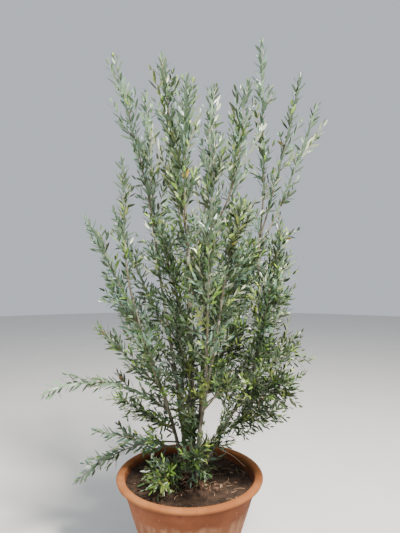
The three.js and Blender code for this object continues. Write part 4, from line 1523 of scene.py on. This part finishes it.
HEAP = FOOT + [0.03, -0.125]
HEAP_SPREAD = (0.06, 0.018)
LOOSE = np.array([0.05, 0.06])
LOOSE_SPREAD = 0.13
fallen_roots = np.concatenate([lying(HEAP, HEAP_SPREAD, FALLEN // 2),
                               lying(LOOSE, LOOSE_SPREAD, FALLEN - FALLEN // 2)])
fallen_turn = fall_rng.random(FALLEN) * 2 * math.pi
fallen_rise = fall_rng.uniform(0, 0.18, FALLEN)
fallen_ways = unit(np.stack([np.cos(fallen_turn), np.sin(fallen_turn), fallen_rise], 1))
fallen_facings = unit(np.stack([fall_rng.normal(0, 0.4, FALLEN), fall_rng.normal(0, 0.4, FALLEN),
                                np.ones(FALLEN)], 1))
fallen_colour = fall_rng.choice(DRY, FALLEN, p=(0.48, 0.38, 0.04, 0.1))
points, faces, slots = leaf_arrays(
    fallen_roots, fallen_ways, fallen_facings, FALLEN_LENGTH * fall_rng.uniform(0.45, 1.0, FALLEN),
    FALLEN_WIDTH * fall_rng.uniform(0.6, 1.0, FALLEN), fall_rng.uniform(0.05, 0.35, FALLEN), fallen_colour,
    fallen_colour)
fallen_piece = new_piece("fallen_leaves", points, [faces], leaf_finishes, slots, smooth=False)
on_frame(fallen_piece, "potting_soil", "soil")

# %% [markdown]
# Bits of dead root lie among the leaves, each a thin tube along a bend of its own, and one pale stick leans
# along the inside of the rim.

# %% Bits of root
ROOTLETS = 42
ROOTLET_MIDDLE = np.array([0.07, -0.02])
ROOTLET_SPREAD = 0.12
ROOTLET_LENGTHS = (18, 60)
root_finish = plain_finish("rootlet_tan", (154, 124, 98), 0.85, 0.2, 200, 0.4 * MM)
root_points, root_quads, root_ends = [], [], []
total = 0
for start in lying(ROOTLET_MIDDLE, ROOTLET_SPREAD, ROOTLETS):
    turn = fall_rng.random() * 2 * math.pi
    way = np.array([math.cos(turn), math.sin(turn), 0.1])
    swing = turn + fall_rng.uniform(-2.2, 2.2)
    end_way = np.array([math.cos(swing), math.sin(swing), -0.2])
    length = fall_rng.uniform(*ROOTLET_LENGTHS) * MM
    path = Path(start, start + unit(way + end_way) * length, unit(way), unit(end_way))
    shares = np.linspace(0, 1, 10)
    made = tube(path.at(shares), path.way(shares), lerp((1.1 * MM, 0.5 * MM), shares), 5, total)
    root_points.append(made[0])
    root_quads.append(made[1])
    root_ends.append(made[2])
    total += len(made[0])
root_piece = new_piece("rootlets", np.concatenate(root_points),
                       [np.concatenate(root_quads), np.concatenate(root_ends)], [root_finish])
on_frame(root_piece, "potting_soil", "soil")

# %% The stick by the rim
stick_finish = plain_finish("stick_pale", (190, 160, 132), 0.8, 0.3, 200, 0.5 * MM)
stick_path = Path(np.array([0.158, 0.232, 0.497]), np.array([0.262, 0.092, 0.478]),
                  unit(np.array([0.8, -0.6, 0.0])), unit(np.array([0.5, -0.85, -0.1])))
shares = np.linspace(0, 1, 16)
stick = tube(stick_path.at(shares), stick_path.way(shares), lerp((2.0 * MM, 1.3 * MM), shares), 7)
stick_piece = new_piece("stick_by_rim", stick[0], [stick[1], stick[2]], [stick_finish])
on_frame(stick_piece, "potting_soil", "soil")

# %% [markdown]
# ## Floor, light and camera
#
# The tree stands on a plain pale floor, wide enough to reach the background from every side. A noise of two
# near greys keeps it from looking like paper.

# %% The floor
FLOOR_RADIUS = 14
floor_finish = Finish("floor_pale", 0.9, 0.2)
floor_finish.colour(floor_finish.blend(floor_finish.noise(2, 3), (0.60, 0.59, 0.57), (0.66, 0.65, 0.63)))
floor_finish.bump(floor_finish.noise(60, 3), 0.5 * MM, 0.2)
floor_shape = bmesh.new()
bmesh.ops.create_circle(floor_shape, cap_ends=True, segments=96, radius=FLOOR_RADIUS)
floor_mesh = bpy.data.meshes.new("floor")
floor_shape.to_mesh(floor_mesh)
floor_shape.free()
floor_mesh.materials.append(floor_finish.material)
floor = bpy.data.objects.new("floor", floor_mesh)
bpy.context.scene.collection.objects.link(floor)
print("floor", 2 * FLOOR_RADIUS, "m across")

# %% [markdown]
# One soft light from high in front, a little to the right, does the sun's work. A wide weak one from the
# left and a pale sky fill the shadows.

# %% The light
CROWN_MIDDLE = (0, 0, 1.2)


def soft_light(name, place, target, size, power, colour):
    """A round lamp at a place, turned to its target."""
    lamp = bpy.data.lights.new(name, "AREA")
    lamp.shape = "DISK"
    lamp.size = size
    lamp.energy = power
    lamp.color = colour
    light = bpy.data.objects.new(name, lamp)
    light.location = place
    light.rotation_euler = (Vector(target) - Vector(place)).to_track_quat("-Z", "Y").to_euler()
    bpy.context.scene.collection.objects.link(light)


soft_light("key", (1.4, -2.0, 4.9), CROWN_MIDDLE, 0.9, 960, (1.0, 0.95, 0.88))
soft_light("fill", (-3.4, -2.4, 2.6), CROWN_MIDDLE, 2.6, 70, (0.92, 0.96, 1.0))
world = bpy.data.worlds.new("pale_sky")
world.use_nodes = True
sky = world.node_tree.nodes["Background"]
sky.inputs["Color"].default_value = (0.78, 0.83, 0.90, 1)
sky.inputs["Strength"].default_value = 0.74
bpy.context.scene.world = world
print("lights:", [light.name for light in bpy.data.lights])

# %% [markdown]
# The camera stands where the photographer stood: a little above the middle of the tree, two metres from it,
# tilted up by about one degree. Its lens follows from how many pixels of the picture's height one metre
# takes at one metre's distance.

# %% The camera
PHOTO_HEIGHT = 533
FOCAL_PIXELS = 423
CAMERA_PLACE = (0.046, -1.94, 1.39)
TILT_UP = 1.15
camera_data = bpy.data.cameras.new("camera")
camera_data.sensor_width = 36
camera_data.lens = FOCAL_PIXELS / PHOTO_HEIGHT * camera_data.sensor_width
camera = bpy.data.objects.new("camera", camera_data)
camera.location = CAMERA_PLACE
camera.rotation_euler = (math.radians(90 + TILT_UP), 0, 0)
bpy.context.scene.collection.objects.link(camera)
bpy.context.scene.camera = camera
print("lens", round(camera_data.lens, 2), "mm")
